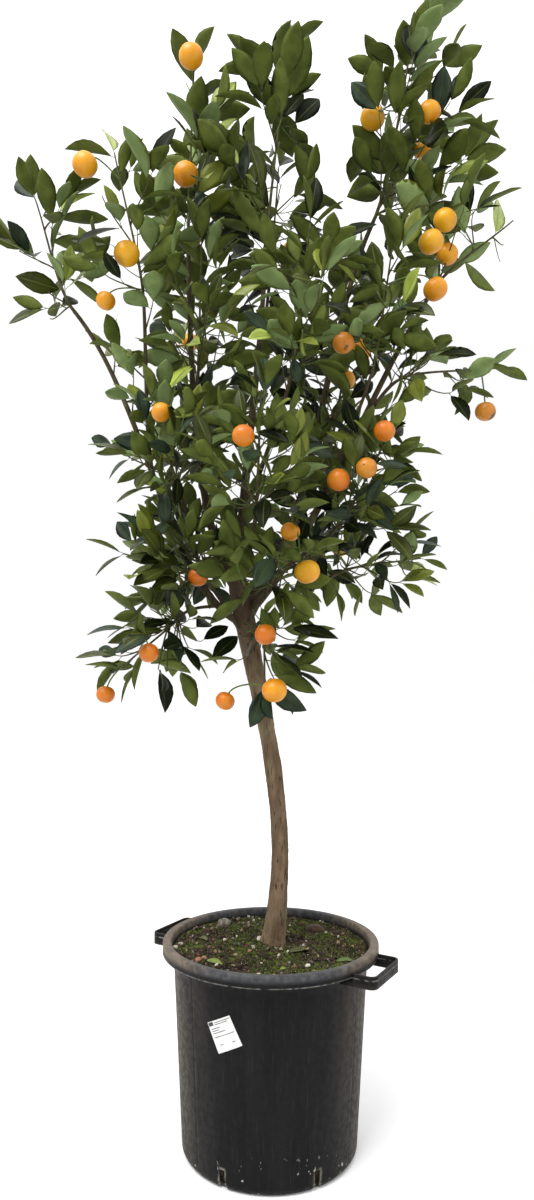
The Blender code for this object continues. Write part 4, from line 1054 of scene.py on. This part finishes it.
def in_sky(points, draws):
    """Whether points fall in a gap of the crown, each by its draw from 0 to 1.

    A gap is an ellipse on the stem's plane, where the line from the viewer to a point crosses it, and
    the share of what falls there that is left out.
    """
    ahead = -VIEWER[1] / (points[:, 1] - VIEWER[1])
    crossing = VIEWER + (points - VIEWER) * ahead[:, None]
    out = np.zeros(len(points), bool)
    for x, z, wide, tall, share in SKY:
        within = ((crossing[:, 0] - x) / wide) ** 2 + ((crossing[:, 2] - z) / tall) ** 2 < 1
        out |= within & (draws < share)
    return out


def grow_crown():
    """All shoots as (controls, radii, kind, mass): kind 0 leads, 1 is a side shoot, 2 finer, 3 a spur."""
    shoots = []
    for own, name in enumerate(MASSES):
        rng = np.random.default_rng(100 + own)
        centre, radii = (np.array(value) for value in MASSES[name][:2])
        leader = grow_leader(name)
        shoots.append((*leader, 0, own))
        for twig in grow_twigs(leader[0], centre, radii, rng):
            if in_sky(twig[3][None], rng.uniform(size=1))[0]:
                continue
            shoots.append((twig, TWIG_RADII, 1, own))
            for fine in grow_side_shoots(twig, TWIGLET_STEP, TWIGLET_LENGTHS, rng):
                line = cubic(fine, np.linspace(0.3, 1, 5))[0]
                within = np.linalg.norm((line - centre) / radii, axis=-1).max() < TWIGLET_REACH
                if within and off_wood(line, TWIG_GAP):
                    shoots.append((fine, TWIGLET_RADII, 2, own))
    for own, name in enumerate(BOUGHS):
        rng = np.random.default_rng(300 + own)
        for spur in grow_side_shoots(limbs[name][0], SPUR_STEP, SPUR_LENGTHS, rng, SPUR_FIRST):
            line = cubic(spur, np.linspace(0.45, 1, 5))[0]
            if rng.uniform() < SPUR_SHARE and off_wood(line, SPUR_GAP):
                shoots.append((spur, TWIG_RADII, 3, 100 + own))
    return shoots


crown = grow_crown()
twig_materials = [
    plain_material("shoot_olive_brown", (74, 72, 42), (54, 50, 32), 90.0, 0.7, 0.15),
    plain_material("shoot_green", (82, 102, 44), (64, 82, 34), 90.0, 0.55, 0.2),
    plain_material("shoot_grey_brown", (72, 62, 46), (52, 44, 34), 90.0, 0.8, 0.12),
]
SHAPE_OF_KIND = ((18, 7), (9, 5), (6, 4), (8, 5))
TINT_OF_KIND = (0, 0, 1, 2)
shoot_surfaces = [limb_surface(controls, tapering(*radii), *SHAPE_OF_KIND[kind])
                  for controls, radii, kind, _ in crown]
shoot_tints = [TINT_OF_KIND[kind] for _, _, kind, _ in crown]
twigs = join_surfaces("leaf_twigs", shoot_surfaces, twig_materials, shoot_tints)
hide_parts(*MASSES)
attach(twigs, "root")


# The fruit is small, round and a little flat at the poles, with a thin, finely pitted skin from
# yellow-orange to deep orange. Each hangs from a short green stalk with a five-lobed button.

FRUIT = (
    (-0.156, -0.075, 1.937, 0.045), (-0.33, -0.14, 1.69, 0.044), (-0.165, -0.055, 1.725, 0.046),
    (-0.252, -0.155, 1.524, 0.044), (-0.297, -0.1, 1.466, 0.034), (0.178, -0.045, 1.842, 0.046),
    (0.274, -0.095, 1.82, 0.04), (0.302, -0.085, 1.625, 0.042), (0.271, -0.115, 1.569, 0.044),
    (0.314, -0.045, 1.582, 0.04), (0.281, -0.1, 1.491, 0.043), (0.112, -0.185, 1.36, 0.036),
    (0.165, 0.085, 1.455, 0.036), (0.14, 0.09, 1.392, 0.04), (0.379, -0.05, 1.288, 0.037),
    (0.178, -0.19, 1.212, 0.035), (0.146, -0.215, 1.145, 0.034), (0.103, -0.195, 1.13, 0.037),
    (-0.047, -0.325, 1.166, 0.033), (0.026, -0.19, 1.046, 0.032), (0.053, -0.195, 0.981, 0.041),
    (-0.125, -0.15, 0.976, 0.033), (-0.199, -0.185, 0.85, 0.032), (-0.278, -0.125, 0.781, 0.031),
    (-0.078, -0.15, 0.773, 0.032), (-0.013, -0.205, 0.88, 0.034), (0.002, -0.195, 0.792, 0.04),
    (-0.183, -0.205, 1.236, 0.032), (-0.19, 0.33, 1.56, 0.042), (-0.235, 0.27, 1.33, 0.036),
    (0.2, 0.34, 1.54, 0.042), (0.12, 0.345, 1.38, 0.04), (-0.2, 0.31, 1.06, 0.036),
    (0.15, 0.32, 1.09, 0.04), (0.04, 0.29, 1.76, 0.04), (0.3, 0.11, 1.88, 0.04),
)
PEEL_OF_FRUIT = (0, 0, 0, 1, 0, 1, 0, 1, 1, 0, 0, 3, 0, 0, 3, 2, 3, 2,
                 2, 0, 1, 2, 2, 2, 2, 2, 0, 0, 0, 1, 0, 2, 0, 1, 0, 0)
HALF_HIDDEN = (4, 9, 12, 13, 16, 21, 22, 23, 25, 27)
FRUIT_RINGS = 18
FRUIT_SIDES = 24
STALK_RADIUS = 0.0013
STALK_SINK = 0.002
STALK_RISE = (0, 0, 0.5)
FRUIT_LEAN = 0.6
FRUIT_TOP = 0.43
BUTTON_PROFILE = ((0.0, -0.12), (0.55, -0.1), (1.0, -0.02), (0.8, 0.12), (0.4, 0.2), (0.0, 0.26))
BUTTON_SHARE = 0.1


def peel_material(name, ground, patch, blotch=None):
    """Glossy citrus peel: two near oranges in soft areas, oil-gland pits as bump, and brown blotches."""
    material, tree, body = new_material(name, 0.42, 0.22)
    body["Coat Weight"].default_value = 0.25
    body["Coat Roughness"].default_value = 0.28
    colour = tone(tree, ground, patch, Scale=28.0, Detail=3.0, From=0.35, To=0.65)["Colour"]
    if blotch:
        spots = mottle(tree, Scale=46.0, Detail=6.0, From=0.56, To=0.62)["Mask"]
        colour = mixed(tree, spots, colour, linear(*blotch))
    tree.links.new(colour, body["Base Color"])
    place = add_node(tree, "TexCoord")["Object"]
    cells = add_node(tree, "TexVoronoi", {"Vector": place, "Scale": 620.0})
    pits = between(tree, cells["Distance"], 0.0, 0.45)
    bump = add_node(tree, "Bump", {"Height": pits, "Distance": 0.0006, "Strength": 0.35})
    tree.links.new(bump["Normal"], body["Normal"])
    return material


leaders = np.concatenate([cubic(controls, np.linspace(0.1, 0.98, 40))[0]
                          for controls, _, kind, _ in crown if kind == 0])


def nearest_leader(spot):
    """The point on any leading shoot that is nearest to a fruit, counting height more."""
    cost = np.linalg.norm(leaders - spot, axis=1) + 0.6 * np.abs(leaders[:, 2] - spot[2])
    return leaders[cost.argmin()]


def turned_to(axis):
    """Three unit vectors with the third along an axis."""
    side = unit(np.cross(axis, (0.3, 0.9, 0.1)))
    return np.stack((side, np.cross(axis, side), axis))


def fruit_surface(centre, diameter, axis, seed):
    """A ball of radius 1 - 0.09 h^4 at height h, with a dimple, nine faint lobes and soft waves."""
    points, faces = ball(FRUIT_RINGS, FRUIT_SIDES)
    height = points[:, 2:3]
    angle = np.arctan2(points[:, 1:2], points[:, 0:1])
    lobes = 1 + 0.006 * np.cos(9 * angle) * (1 - height**2) + 0.01 * waves(points, 2.0, seed)[:, None]
    pole = 1 - 0.09 * height**4 - 0.05 * np.exp(-((1 - height) / 0.035))
    return centre + (points * lobes * pole * diameter / 2) @ turned_to(axis), faces


def button_surface(top, axis, size):
    """A five-lobed green button on the fruit: a low dome whose rim radius waves five times round."""
    points, faces = spun(BUTTON_PROFILE, 20)
    angle = np.arctan2(points[:, 1], points[:, 0])
    points[:, :2] *= (0.78 + 0.22 * np.cos(5 * angle))[:, None]
    return top + (points * size) @ turned_to(axis), faces


peels = [
    peel_material("peel_orange", (188, 116, 5), (197, 136, 10)),
    peel_material("peel_yellow_orange", (197, 145, 14), (191, 131, 10)),
    peel_material("peel_deep_orange", (175, 88, 5), (182, 105, 7)),
    peel_material("peel_blotched", (166, 99, 18), (177, 116, 28), (81, 48, 22)),
]
fruit_surfaces, stalk_surfaces, button_surfaces = [], [], []
for k, (*spot, diameter) in enumerate(FRUIT):
    spot = np.array(spot)
    start = nearest_leader(spot)
    out = unit(spot - start)
    axis = unit(np.array((0, 0, 1.0)) - out * FRUIT_LEAN)
    top = spot + axis * diameter * FRUIT_TOP
    stalk = bend(start, top - axis * STALK_SINK, unit(out + STALK_RISE), -axis)
    stalk_surfaces.append(limb_surface(stalk, tapering(STALK_RADIUS * 1.1, STALK_RADIUS), 12, 6))
    fruit_surfaces.append(fruit_surface(spot, diameter, axis, 400 + k))
    button_surfaces.append(button_surface(top, axis, diameter * BUTTON_SHARE))
fruit = join_surfaces("ripe_fruit", fruit_surfaces, peels, PEEL_OF_FRUIT)
stalks = join_surfaces("fruit_stalks", stalk_surfaces + button_surfaces, [twig_materials[1]])
for piece in (fruit, stalks):
    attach(piece, "root")


# Leaves are leathery ovals with a pale midrib, folded a little along it and arched, glossy and
# mid to dark green above, paler and dull beneath. Each sits on a short stalk in a spiral round its shoot.

LEAF_STEP = 0.026
LEAF_SPREAD = math.radians(54.0)
LEAF_LENGTHS = (0.052, 0.098)
LEAF_SHARES = ((0.8, 0.84), (1.1, 0.74), (1.35, 0.8), (1.6, 0.97), (2.0, 1.08))
LEAVES_APART = 0.026
LEAF_SIZES = (0.62, 0.22)
LEAF_WIDTH = 0.45
LEAF_WIDTHS = (0.88, 1.14)
LEAF_FOLDS = (0.1, 0.42)
LEAF_DROOPS = (0.02, 0.26)
LEAF_TWIST = 0.22
LEAF_OUT = 0.25
LEAF_SINK = 0.12
LIGHT_UP = 0.75
LIGHT_OUT = 0.65
LIGHT_STRAY = 0.28
LEAF_THICKNESS = 0.0008
LEAF_OFF_WOOD = 0.003
LEAF_OFF_FRUIT = 0.007
LEAF_PAST_BOX = 0.008
LEAF_FLOOR = POT_HEIGHT + 0.03
TEST_SHARES = (0.3, 0.6, 1.0)
TEST_SAGS = (0.05, 0.3, 0.75)
BARE_OF_KIND = (0.12, 0.18, 0.2, 0.25)
PETIOLE = 0.008
PETIOLE_LAP = 0.004
PETIOLE_RADII = (0.0007, 0.0005)
FRONT_FRUIT = 0.06
CLEAR_OF_FRUIT = 0.58
CLEAR_OF_HALF_HIDDEN = 0.2
CLEAR_OF_STEM = 0.03
BLADE_SHARES = np.array((0.0, 0.08, 0.23, 0.42, 0.6, 0.78, 0.92, 1.0))
BLADE_WIDTHS = np.array((0.05, 0.31, 0.7, 0.97, 0.99, 0.73, 0.34, 0.04))
TOP_ACROSS = np.array((-1.0, -0.52, -0.05, 0.05, 0.52, 1.0))
LOW_ACROSS = np.array((-0.52, 0.0, 0.52))
BLADE_LOOP = (0, 1, 2, 3, 4, 5, 8, 7, 6, 0)
BLADE_MARKS = (0, 0, 1, 0, 0, 2, 2, 2, 2)
LEAF_TINTS = {
    "leaf_dark": ((12, 17, 6), (21, 28, 10)), "leaf_blue_green": ((28, 38, 27), (43, 56, 40)),
    "leaf_mid": ((43, 49, 14), (58, 64, 20)), "leaf_olive": ((90, 98, 31), (107, 114, 40)),
    "leaf_light": ((119, 133, 56), (139, 152, 69)), "leaf_young": ((142, 158, 58), (158, 173, 74)),
}
LOW_TINTS = (0.14, 0.32, 0.25, 0.18, 0.09, 0.02)
HIGH_TINTS = (0.28, 0.09, 0.2, 0.24, 0.16, 0.03)
TINT_HEIGHTS = (0.95, 1.5)
SHADE_AXIS = (((0.9, 1.15, 1.4, 1.9), (-0.05, 0.03, 0.08, 0.02)), ((0.9, 1.4, 1.9), (0.0, 0.06, 0.08)))
SHADE_REACH = 0.19
SHADE_SHARE = 0.8
YOUNG_SPOTS = ((-0.16, -0.12, 1.31, 0.07), (0.03, -0.18, 1.4, 0.06),
               (-0.11, 0.0, 1.8, 0.06), (0.3, -0.05, 1.55, 0.05))
UP = np.array((0.0, 0.0, 1.0))


def leaf_material(name, ground, patch, roughness, specular):
    """Waxy leaf skin: soft light and dark areas, and a fine leathery grain."""
    relief = {"Scale": 260.0, "Height": 0.0012, "Strength": 0.25}
    return mottled_material(name, ground, patch, roughness, specular, relief, Scale=34.0, From=0.36, To=0.64)


leaf_materials = [leaf_material(name, *pair, 0.36, 0.05 + 0.05 * k)
                  for k, (name, pair) in enumerate(LEAF_TINTS.items())]
RIB, UNDERSIDE = len(LEAF_TINTS), len(LEAF_TINTS) + 1
leaf_materials += [
    leaf_material("leaf_rib", (88, 102, 42), (78, 91, 37), 0.5, 0.16),
    leaf_material("underside_olive", (66, 76, 30), (84, 94, 40), 0.6, 0.08),
    leaf_material("underside_pale", (98, 115, 68), (114, 131, 82), 0.6, 0.1),
]


def blades(roots, along, face, length, width, fold, droop, twist):
    """Closed leaf blades as arrays: root + along*s*L + across*v*w(s)*W/2 + face*(fold*|v|*w - droop*s*s).

    The upper sheet has six points across each station, with the rib strip between the middle two. The
    lower sheet shares both edges and lies a leaf's thickness times (1 - v*v) below at its three others.
    """
    across = np.cross(along, face)
    count, stations = len(roots), len(BLADE_SHARES)
    turn = (twist[:, None] * BLADE_SHARES)[..., None]
    side = across[:, None] * np.cos(turn) + face[:, None] * np.sin(turn)
    lift = face[:, None] * np.cos(turn) - across[:, None] * np.sin(turn)
    bow = (droop[:, None] * BLADE_SHARES**2 - 0.25 * droop[:, None] * BLADE_SHARES) * length[:, None]
    spine = roots[:, None] + along[:, None] * (BLADE_SHARES[:, None] * length[:, None, None])
    spine = spine - face[:, None] * bow[..., None]
    half = (BLADE_WIDTHS * (width / 2)[:, None])[..., None]
    sheets = []
    for v, thick in ((TOP_ACROSS, 0.0), (LOW_ACROSS, LEAF_THICKNESS)):
        sheet = spine[:, :, None] + side[:, :, None] * (half * v)[..., None]
        height = fold[:, None, None] * half * np.abs(v) - thick * (1 - v * v)
        sheets.append(sheet + lift[:, :, None] * height[..., None])
    points = np.concatenate(sheets, axis=2)
    row = points.shape[2]
    grid = np.arange(stations * row).reshape(stations, row)
    lower, upper = grid[:-1], grid[1:]
    quads = np.concatenate([np.stack((lower[:, a], lower[:, b], upper[:, b], upper[:, a]), axis=1)
                            for a, b in zip(BLADE_LOOP[:-1], BLADE_LOOP[1:])])
    marks = np.repeat(BLADE_MARKS, stations - 1)
    ends = np.stack((grid[0, list(BLADE_LOOP[-2::-1])], grid[-1, list(BLADE_LOOP[:-1])]))
    step = stations * row
    return points.reshape(-1, 3), repeated(quads, count, step), repeated(ends, count, step), marks


def leaf_sites():
    """Places for leaves: every step along each shoot in a golden spiral, with some at its tip."""
    sites = []
    for number, (controls, _, kind, _) in enumerate(crown):
        rng = np.random.default_rng(5000 + number)
        reach = np.linalg.norm(controls[3] - controls[0])
        bare = BARE_OF_KIND[kind]
        count = max(1, int(reach * (1 - bare) / (LEAF_STEP * (1.25 if kind == 0 else 1.0))))
        share = 1.0 - (np.arange(count) + rng.uniform(0, 0.35, count)) / count * (1 - bare)
        share = np.concatenate(((1.0, 1.0), share))
        size = len(share)
        points, tangents = cubic(controls, share)
        angle = rng.uniform(0, 2 * math.pi) + np.arange(size) * GOLDEN_TURN
        angle = angle + rng.normal(scale=0.25, size=size)
        spread = LEAF_SPREAD * rng.uniform(0.75, 1.25, size)
        spread[:2] *= 0.45
        spread = spread[:, None]
        ahead = unit(tangents * np.cos(spread) + spiral(tangents, angle) * np.sin(spread))
        sites.append((points, ahead, np.full(size, number), share))
    return (np.concatenate(part) for part in zip(*sites))


def hides(points, spot, reach):
    """Whether any of a leaf's points comes within reach of the line from a spot to the viewer in front."""
    sight = unit(VIEWER - spot)
    ahead = (points - spot) @ sight
    aside = np.linalg.norm(points - spot - ahead[..., None] * sight, axis=2)
    return ((ahead > 0) & (aside < reach)).any(axis=1)


def deal_tints(places, shoot_of, rng):
    """One tint for most leaves of a spray, drawn from shares that go from dark low down to olive higher up.

    A third of the leaves draw their own. Near the middle of the crown, at a distance d from its axis, a
    draw shrinks by SHADE_SHARE * exp(-(d / SHADE_REACH)^2), which paints the crown's inner shade as dark
    tints on those leaves, and sprays near the young spots turn light.
    """
    high = np.clip((places[:, 2] - TINT_HEIGHTS[0]) / (TINT_HEIGHTS[1] - TINT_HEIGHTS[0]), 0, 1)[:, None]
    shares = np.cumsum((1 - high) * LOW_TINTS + high * HIGH_TINTS, axis=1)
    of_spray = np.random.default_rng(900).uniform(size=len(crown))[shoot_of]
    draw = np.where(rng.uniform(size=len(places)) < 0.35, rng.uniform(size=len(places)), of_spray)
    axis = np.stack([np.interp(places[:, 2], *line) for line in SHADE_AXIS], axis=1)
    # Painted shade: leaves near the crown's axis draw darker tints.
    draw = draw * (1 - SHADE_SHARE * np.exp(-(((places[:, :2] - axis) ** 2).sum(axis=1) / SHADE_REACH**2)))
    tint = np.minimum((draw[:, None] > shares).sum(axis=1), len(LEAF_TINTS) - 1)
    for *spot, reach in YOUNG_SPOTS:
        near = np.linalg.norm(places - spot, axis=1) < reach
        tint = np.where(near, np.where(draw < 0.6, 4, 5), tint)
    return tint


def spaced(places, order):
    """The numbers of places that keep LEAVES_APART from each other, each tried in the given order.

    Cells as wide as that distance hold the places taken so far, so only the cells around are searched.
    """
    taken = np.zeros(len(places), bool)
    grid = {}
    around_cell = [(x, y, z) for x in (-1, 0, 1) for y in (-1, 0, 1) for z in (-1, 0, 1)]
    for k in order:
        cell = tuple((places[k] // LEAVES_APART).astype(int))
        close = [j for x, y, z in around_cell for j in grid.get((cell[0] + x, cell[1] + y, cell[2] + z), ())]
        if close and np.linalg.norm(places[close] - places[k], axis=1).min() < LEAVES_APART:
            continue
        grid.setdefault(cell, []).append(k)
        taken[k] = True
    return np.flatnonzero(taken)


def petioles(start, end, face):
    """Leaf stalks: three-sided prisms from shoot to blade, a millimetre thick."""
    side = np.cross(face, unit(end - start))
    turn = np.radians((90, 210, 330))[:, None]
    ring = side[:, None] * np.cos(turn) + face[:, None] * np.sin(turn)
    ends = zip((start, end), PETIOLE_RADII)
    points = np.concatenate([spot[:, None] + ring * radius for spot, radius in ends], axis=1)
    faces = [repeated(((0, 1, 4, 3), (1, 2, 5, 4), (2, 0, 3, 5)), len(start), 6),
             repeated(((0, 2, 1), (3, 4, 5)), len(start), 6)]
    return add_mesh("leaf_stalks", points.reshape(-1, 3), faces, [twig_materials[1]])


def make_leaves():
    """All leaves: sites, then frames that look up and outward, then the tests that thin them."""
    roots, along, shoot_of, share = leaf_sites()
    rng = np.random.default_rng(77)
    count = len(roots)
    owners = np.array([own for *_, own in crown])[shoot_of]
    in_mass = owners < 100
    middle = np.array([row[0] for row in MASSES.values()])[np.where(in_mass, owners, 0)]
    middle = np.where(in_mass[:, None], middle, roots * (0, 0, 1) + (-0.05, 0, 0))
    out = unit((roots - middle) * (1, 1, 0.3) + 1e-6)
    along = unit(along + out * LEAF_OUT - UP * LEAF_SINK)
    light = UP * LIGHT_UP + out * LIGHT_OUT + rng.normal(scale=LIGHT_STRAY, size=(count, 3))
    face = unit(light - along * (light * along).sum(axis=1, keepdims=True))
    size = np.clip(rng.normal(*LEAF_SIZES, count), 0.0, 1.0)
    length = LEAF_LENGTHS[0] + (LEAF_LENGTHS[1] - LEAF_LENGTHS[0]) * size
    length *= np.interp(roots[:, 2], *np.transpose(LEAF_SHARES))
    length *= np.where(share > 0.93, 0.9, 1.0)
    width = length * LEAF_WIDTH * rng.uniform(*LEAF_WIDTHS, count)
    fold, droop = rng.uniform(*LEAF_FOLDS, count), rng.uniform(*LEAF_DROOPS, count)
    twist = rng.normal(scale=LEAF_TWIST, size=count)
    base = roots + along * PETIOLE
    sag = (droop * length)[:, None, None]
    tests = base[:, None] + along[:, None] * (length[:, None] * TEST_SHARES)[..., None]
    tests = tests - face[:, None] * sag * np.array(TEST_SAGS)[None, :, None]
    keep = off_wood(tests, LEAF_OFF_WOOD)
    for k, (*spot, diameter) in enumerate(FRUIT):
        spot = np.array(spot)
        keep &= (np.linalg.norm(tests - spot, axis=2) > diameter / 2 + LEAF_OFF_FRUIT).all(axis=1)
        if spot[1] < FRONT_FRUIT:
            reach = diameter * (CLEAR_OF_HALF_HIDDEN if k in HALF_HIDDEN else CLEAR_OF_FRUIT)
            keep &= ~hides(tests, spot, reach)
    sparing = rng.uniform(size=count)
    for spot in cubic(limbs["stem"][0], np.linspace(0.8, 0.94, 7))[0]:
        keep &= ~(hides(tests, spot, CLEAR_OF_STEM) & (sparing > 0.12))
    heart = tests[:, 1]
    keep &= ~in_sky(heart, rng.uniform(size=count))
    low, high = np.array(cad_low) - LEAF_PAST_BOX, np.array(cad_high) + LEAF_PAST_BOX
    keep &= ((tests > low) & (tests < high)).all(axis=(1, 2))
    keep &= tests[..., 2].min(axis=1) > LEAF_FLOOR
    pick = spaced(heart, rng.permutation(np.flatnonzero(keep)))
    tint = deal_tints(roots[pick], shoot_of[pick], rng)
    leaves = [value[pick] for value in (base, along, face, length, width, fold, droop, twist)]
    half = (len(pick) + 1) // 2
    pieces = []
    for part, name in ((slice(0, half), "leaves_first"), (slice(half, None), "leaves_second")):
        points, quads, ends, marks = blades(*(value[part] for value in leaves))
        own = tint[part]
        rib = np.where(own < 2, 2, RIB)
        under = UNDERSIDE + ((own >= 3) & (np.arange(len(own)) % 3 > 0))
        tints = np.stack((own, rib, under), axis=1)[:, marks].ravel()
        tints = np.concatenate((tints, np.repeat(own, 2)))
        pieces.append(add_mesh(name, points, [quads, ends], leaf_materials, tints))
    return *pieces, petioles(roots[pick], base[pick] + along[pick] * PETIOLE_LAP, face[pick])


for piece in make_leaves():
    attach(piece, "root")


# Fallen leaves lie on the soil, two dry and grey-brown, one still green, two yellowing and one small.
# Each is the same folded blade as on the tree, laid almost flat and curled a little.

FALLEN = ((0.051, -0.043, 0.048, 20, 0), (0.125, -0.081, 0.032, 5, 1), (-0.094, -0.095, 0.032, -35, 2),
          (-0.004, -0.039, 0.018, 70, 3), (-0.12, 0.02, 0.026, 120, 0), (0.02, -0.12, 0.012, 200, 2))
FALLEN_LIFT = 0.0035
FALLEN_WIDTH = 0.46
FALLEN_FOLD = 0.35
FALLEN_DROOP = 0.16
fallen_materials = [
    leaf_material("leaf_dry", (88, 86, 62), (66, 66, 46), 0.8, 0.1),
    leaf_material("leaf_fallen_green", (70, 90, 48), (84, 102, 58), 0.5, 0.15),
    leaf_material("leaf_fallen_yellow", (112, 122, 60), (98, 110, 52), 0.6, 0.15),
    leaf_material("leaf_fallen_small", (84, 98, 60), (72, 84, 50), 0.6, 0.15),
    leaf_materials[RIB],
]


def make_fallen():
    """The blades from their places, lengths and headings, each tilted and curled a little."""
    x, y, length, azimuth, tint = np.array(FALLEN).T
    along = unit(np.column_stack((around(np.radians(azimuth)), np.full(len(x), 0.08))))
    root = np.stack((x, y, soil_height(x, y) + FALLEN_LIFT), axis=1) - along * (length / 2)[:, None]
    face = unit(UP + np.stack((0.25 * np.sin(7 * x * 50), -0.3 + 0 * x, 0 * x), axis=1))
    face = unit(face - along * (face * along).sum(axis=1, keepdims=True))
    fold, droop = np.full(len(x), FALLEN_FOLD), np.full(len(x), FALLEN_DROOP)
    points, quads, ends, marks = blades(root, along, face, length, length * FALLEN_WIDTH, fold, droop, fold)
    own = tint.astype(int)
    tints = np.where(marks == 1, len(fallen_materials) - 1, own[:, None]).ravel()
    tints = np.concatenate((tints, np.repeat(own, 2)))
    return add_mesh("fallen_leaves", points, [quads, ends], fallen_materials, tints)


fallen = make_fallen()
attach(fallen, "root")


# The studio is a pale floor and soft light from all round, as under a bright overcast sky. The camera
# has the photograph's viewing angle: level with the lowest leaves, and tipped up a little.

FLOOR_REACH = 30
FLOOR_GREY = 0.76
LOOK_AT = (0.0, 0.0, 1.2)

floor_points = np.array(((-1, -1, 0), (1, -1, 0), (1, 1, 0), (-1, 1, 0)), float) * FLOOR_REACH
floor_material, _, floor_body = new_material("pale_floor", 0.9, 0.1)
floor_body["Base Color"].default_value = (FLOOR_GREY, FLOOR_GREY, FLOOR_GREY, 1.0)
floor = add_mesh("studio_floor", floor_points, [np.array(((0, 1, 2, 3),))], [floor_material])

world = bpy.data.worlds.new("overcast")
world.use_nodes = True
sky = world.node_tree
height = add_node(sky, "SeparateXYZ", {0: add_node(sky, "TexCoord")["Generated"]})["Z"]
levels = {"Value": height, "From Min": 0.35, "From Max": 1.0, "To Min": 1.0, "To Max": 2.0}
sky.nodes["Background"].inputs["Color"].default_value = (1.0, 1.0, 1.0, 1.0)
sky.links.new(add_node(sky, "MapRange", levels)["Result"], sky.nodes["Background"].inputs["Strength"])
bpy.context.scene.world = world
bpy.context.scene.view_settings.view_transform = "Standard"


def add_area(name, place_at, size, power):
    """A soft square lamp that looks at the middle of the crown."""
    lamp = bpy.data.lights.new(name, "AREA")
    lamp.size, lamp.energy = size, power
    thing = bpy.data.objects.new(name, lamp)
    back = unit(np.array(place_at) - LOOK_AT)
    side = unit(np.cross(UP, back))
    rotation = Matrix(np.stack((side, np.cross(back, side), back), axis=1).tolist()).to_4x4()
    thing.matrix_world = Matrix.Translation(place_at) @ rotation
    bpy.context.scene.collection.objects.link(thing)


add_area("overhead_key", (-1.5, -2.0, 4.4), 2.6, 215.0)
add_area("right_fill", (3.0, -1.6, 2.4), 2.4, 25.0)

camera_data = bpy.data.cameras.new("camera")
camera_data.lens = 25.26
camera_data.sensor_width = 36.0
camera = bpy.data.objects.new("camera", camera_data)
camera.location = VIEWER
camera.rotation_euler = (math.radians(94.2), math.radians(-0.4), 0.0)
bpy.context.scene.collection.objects.link(camera)
bpy.context.scene.camera = camera

bpy.context.view_layer.update()
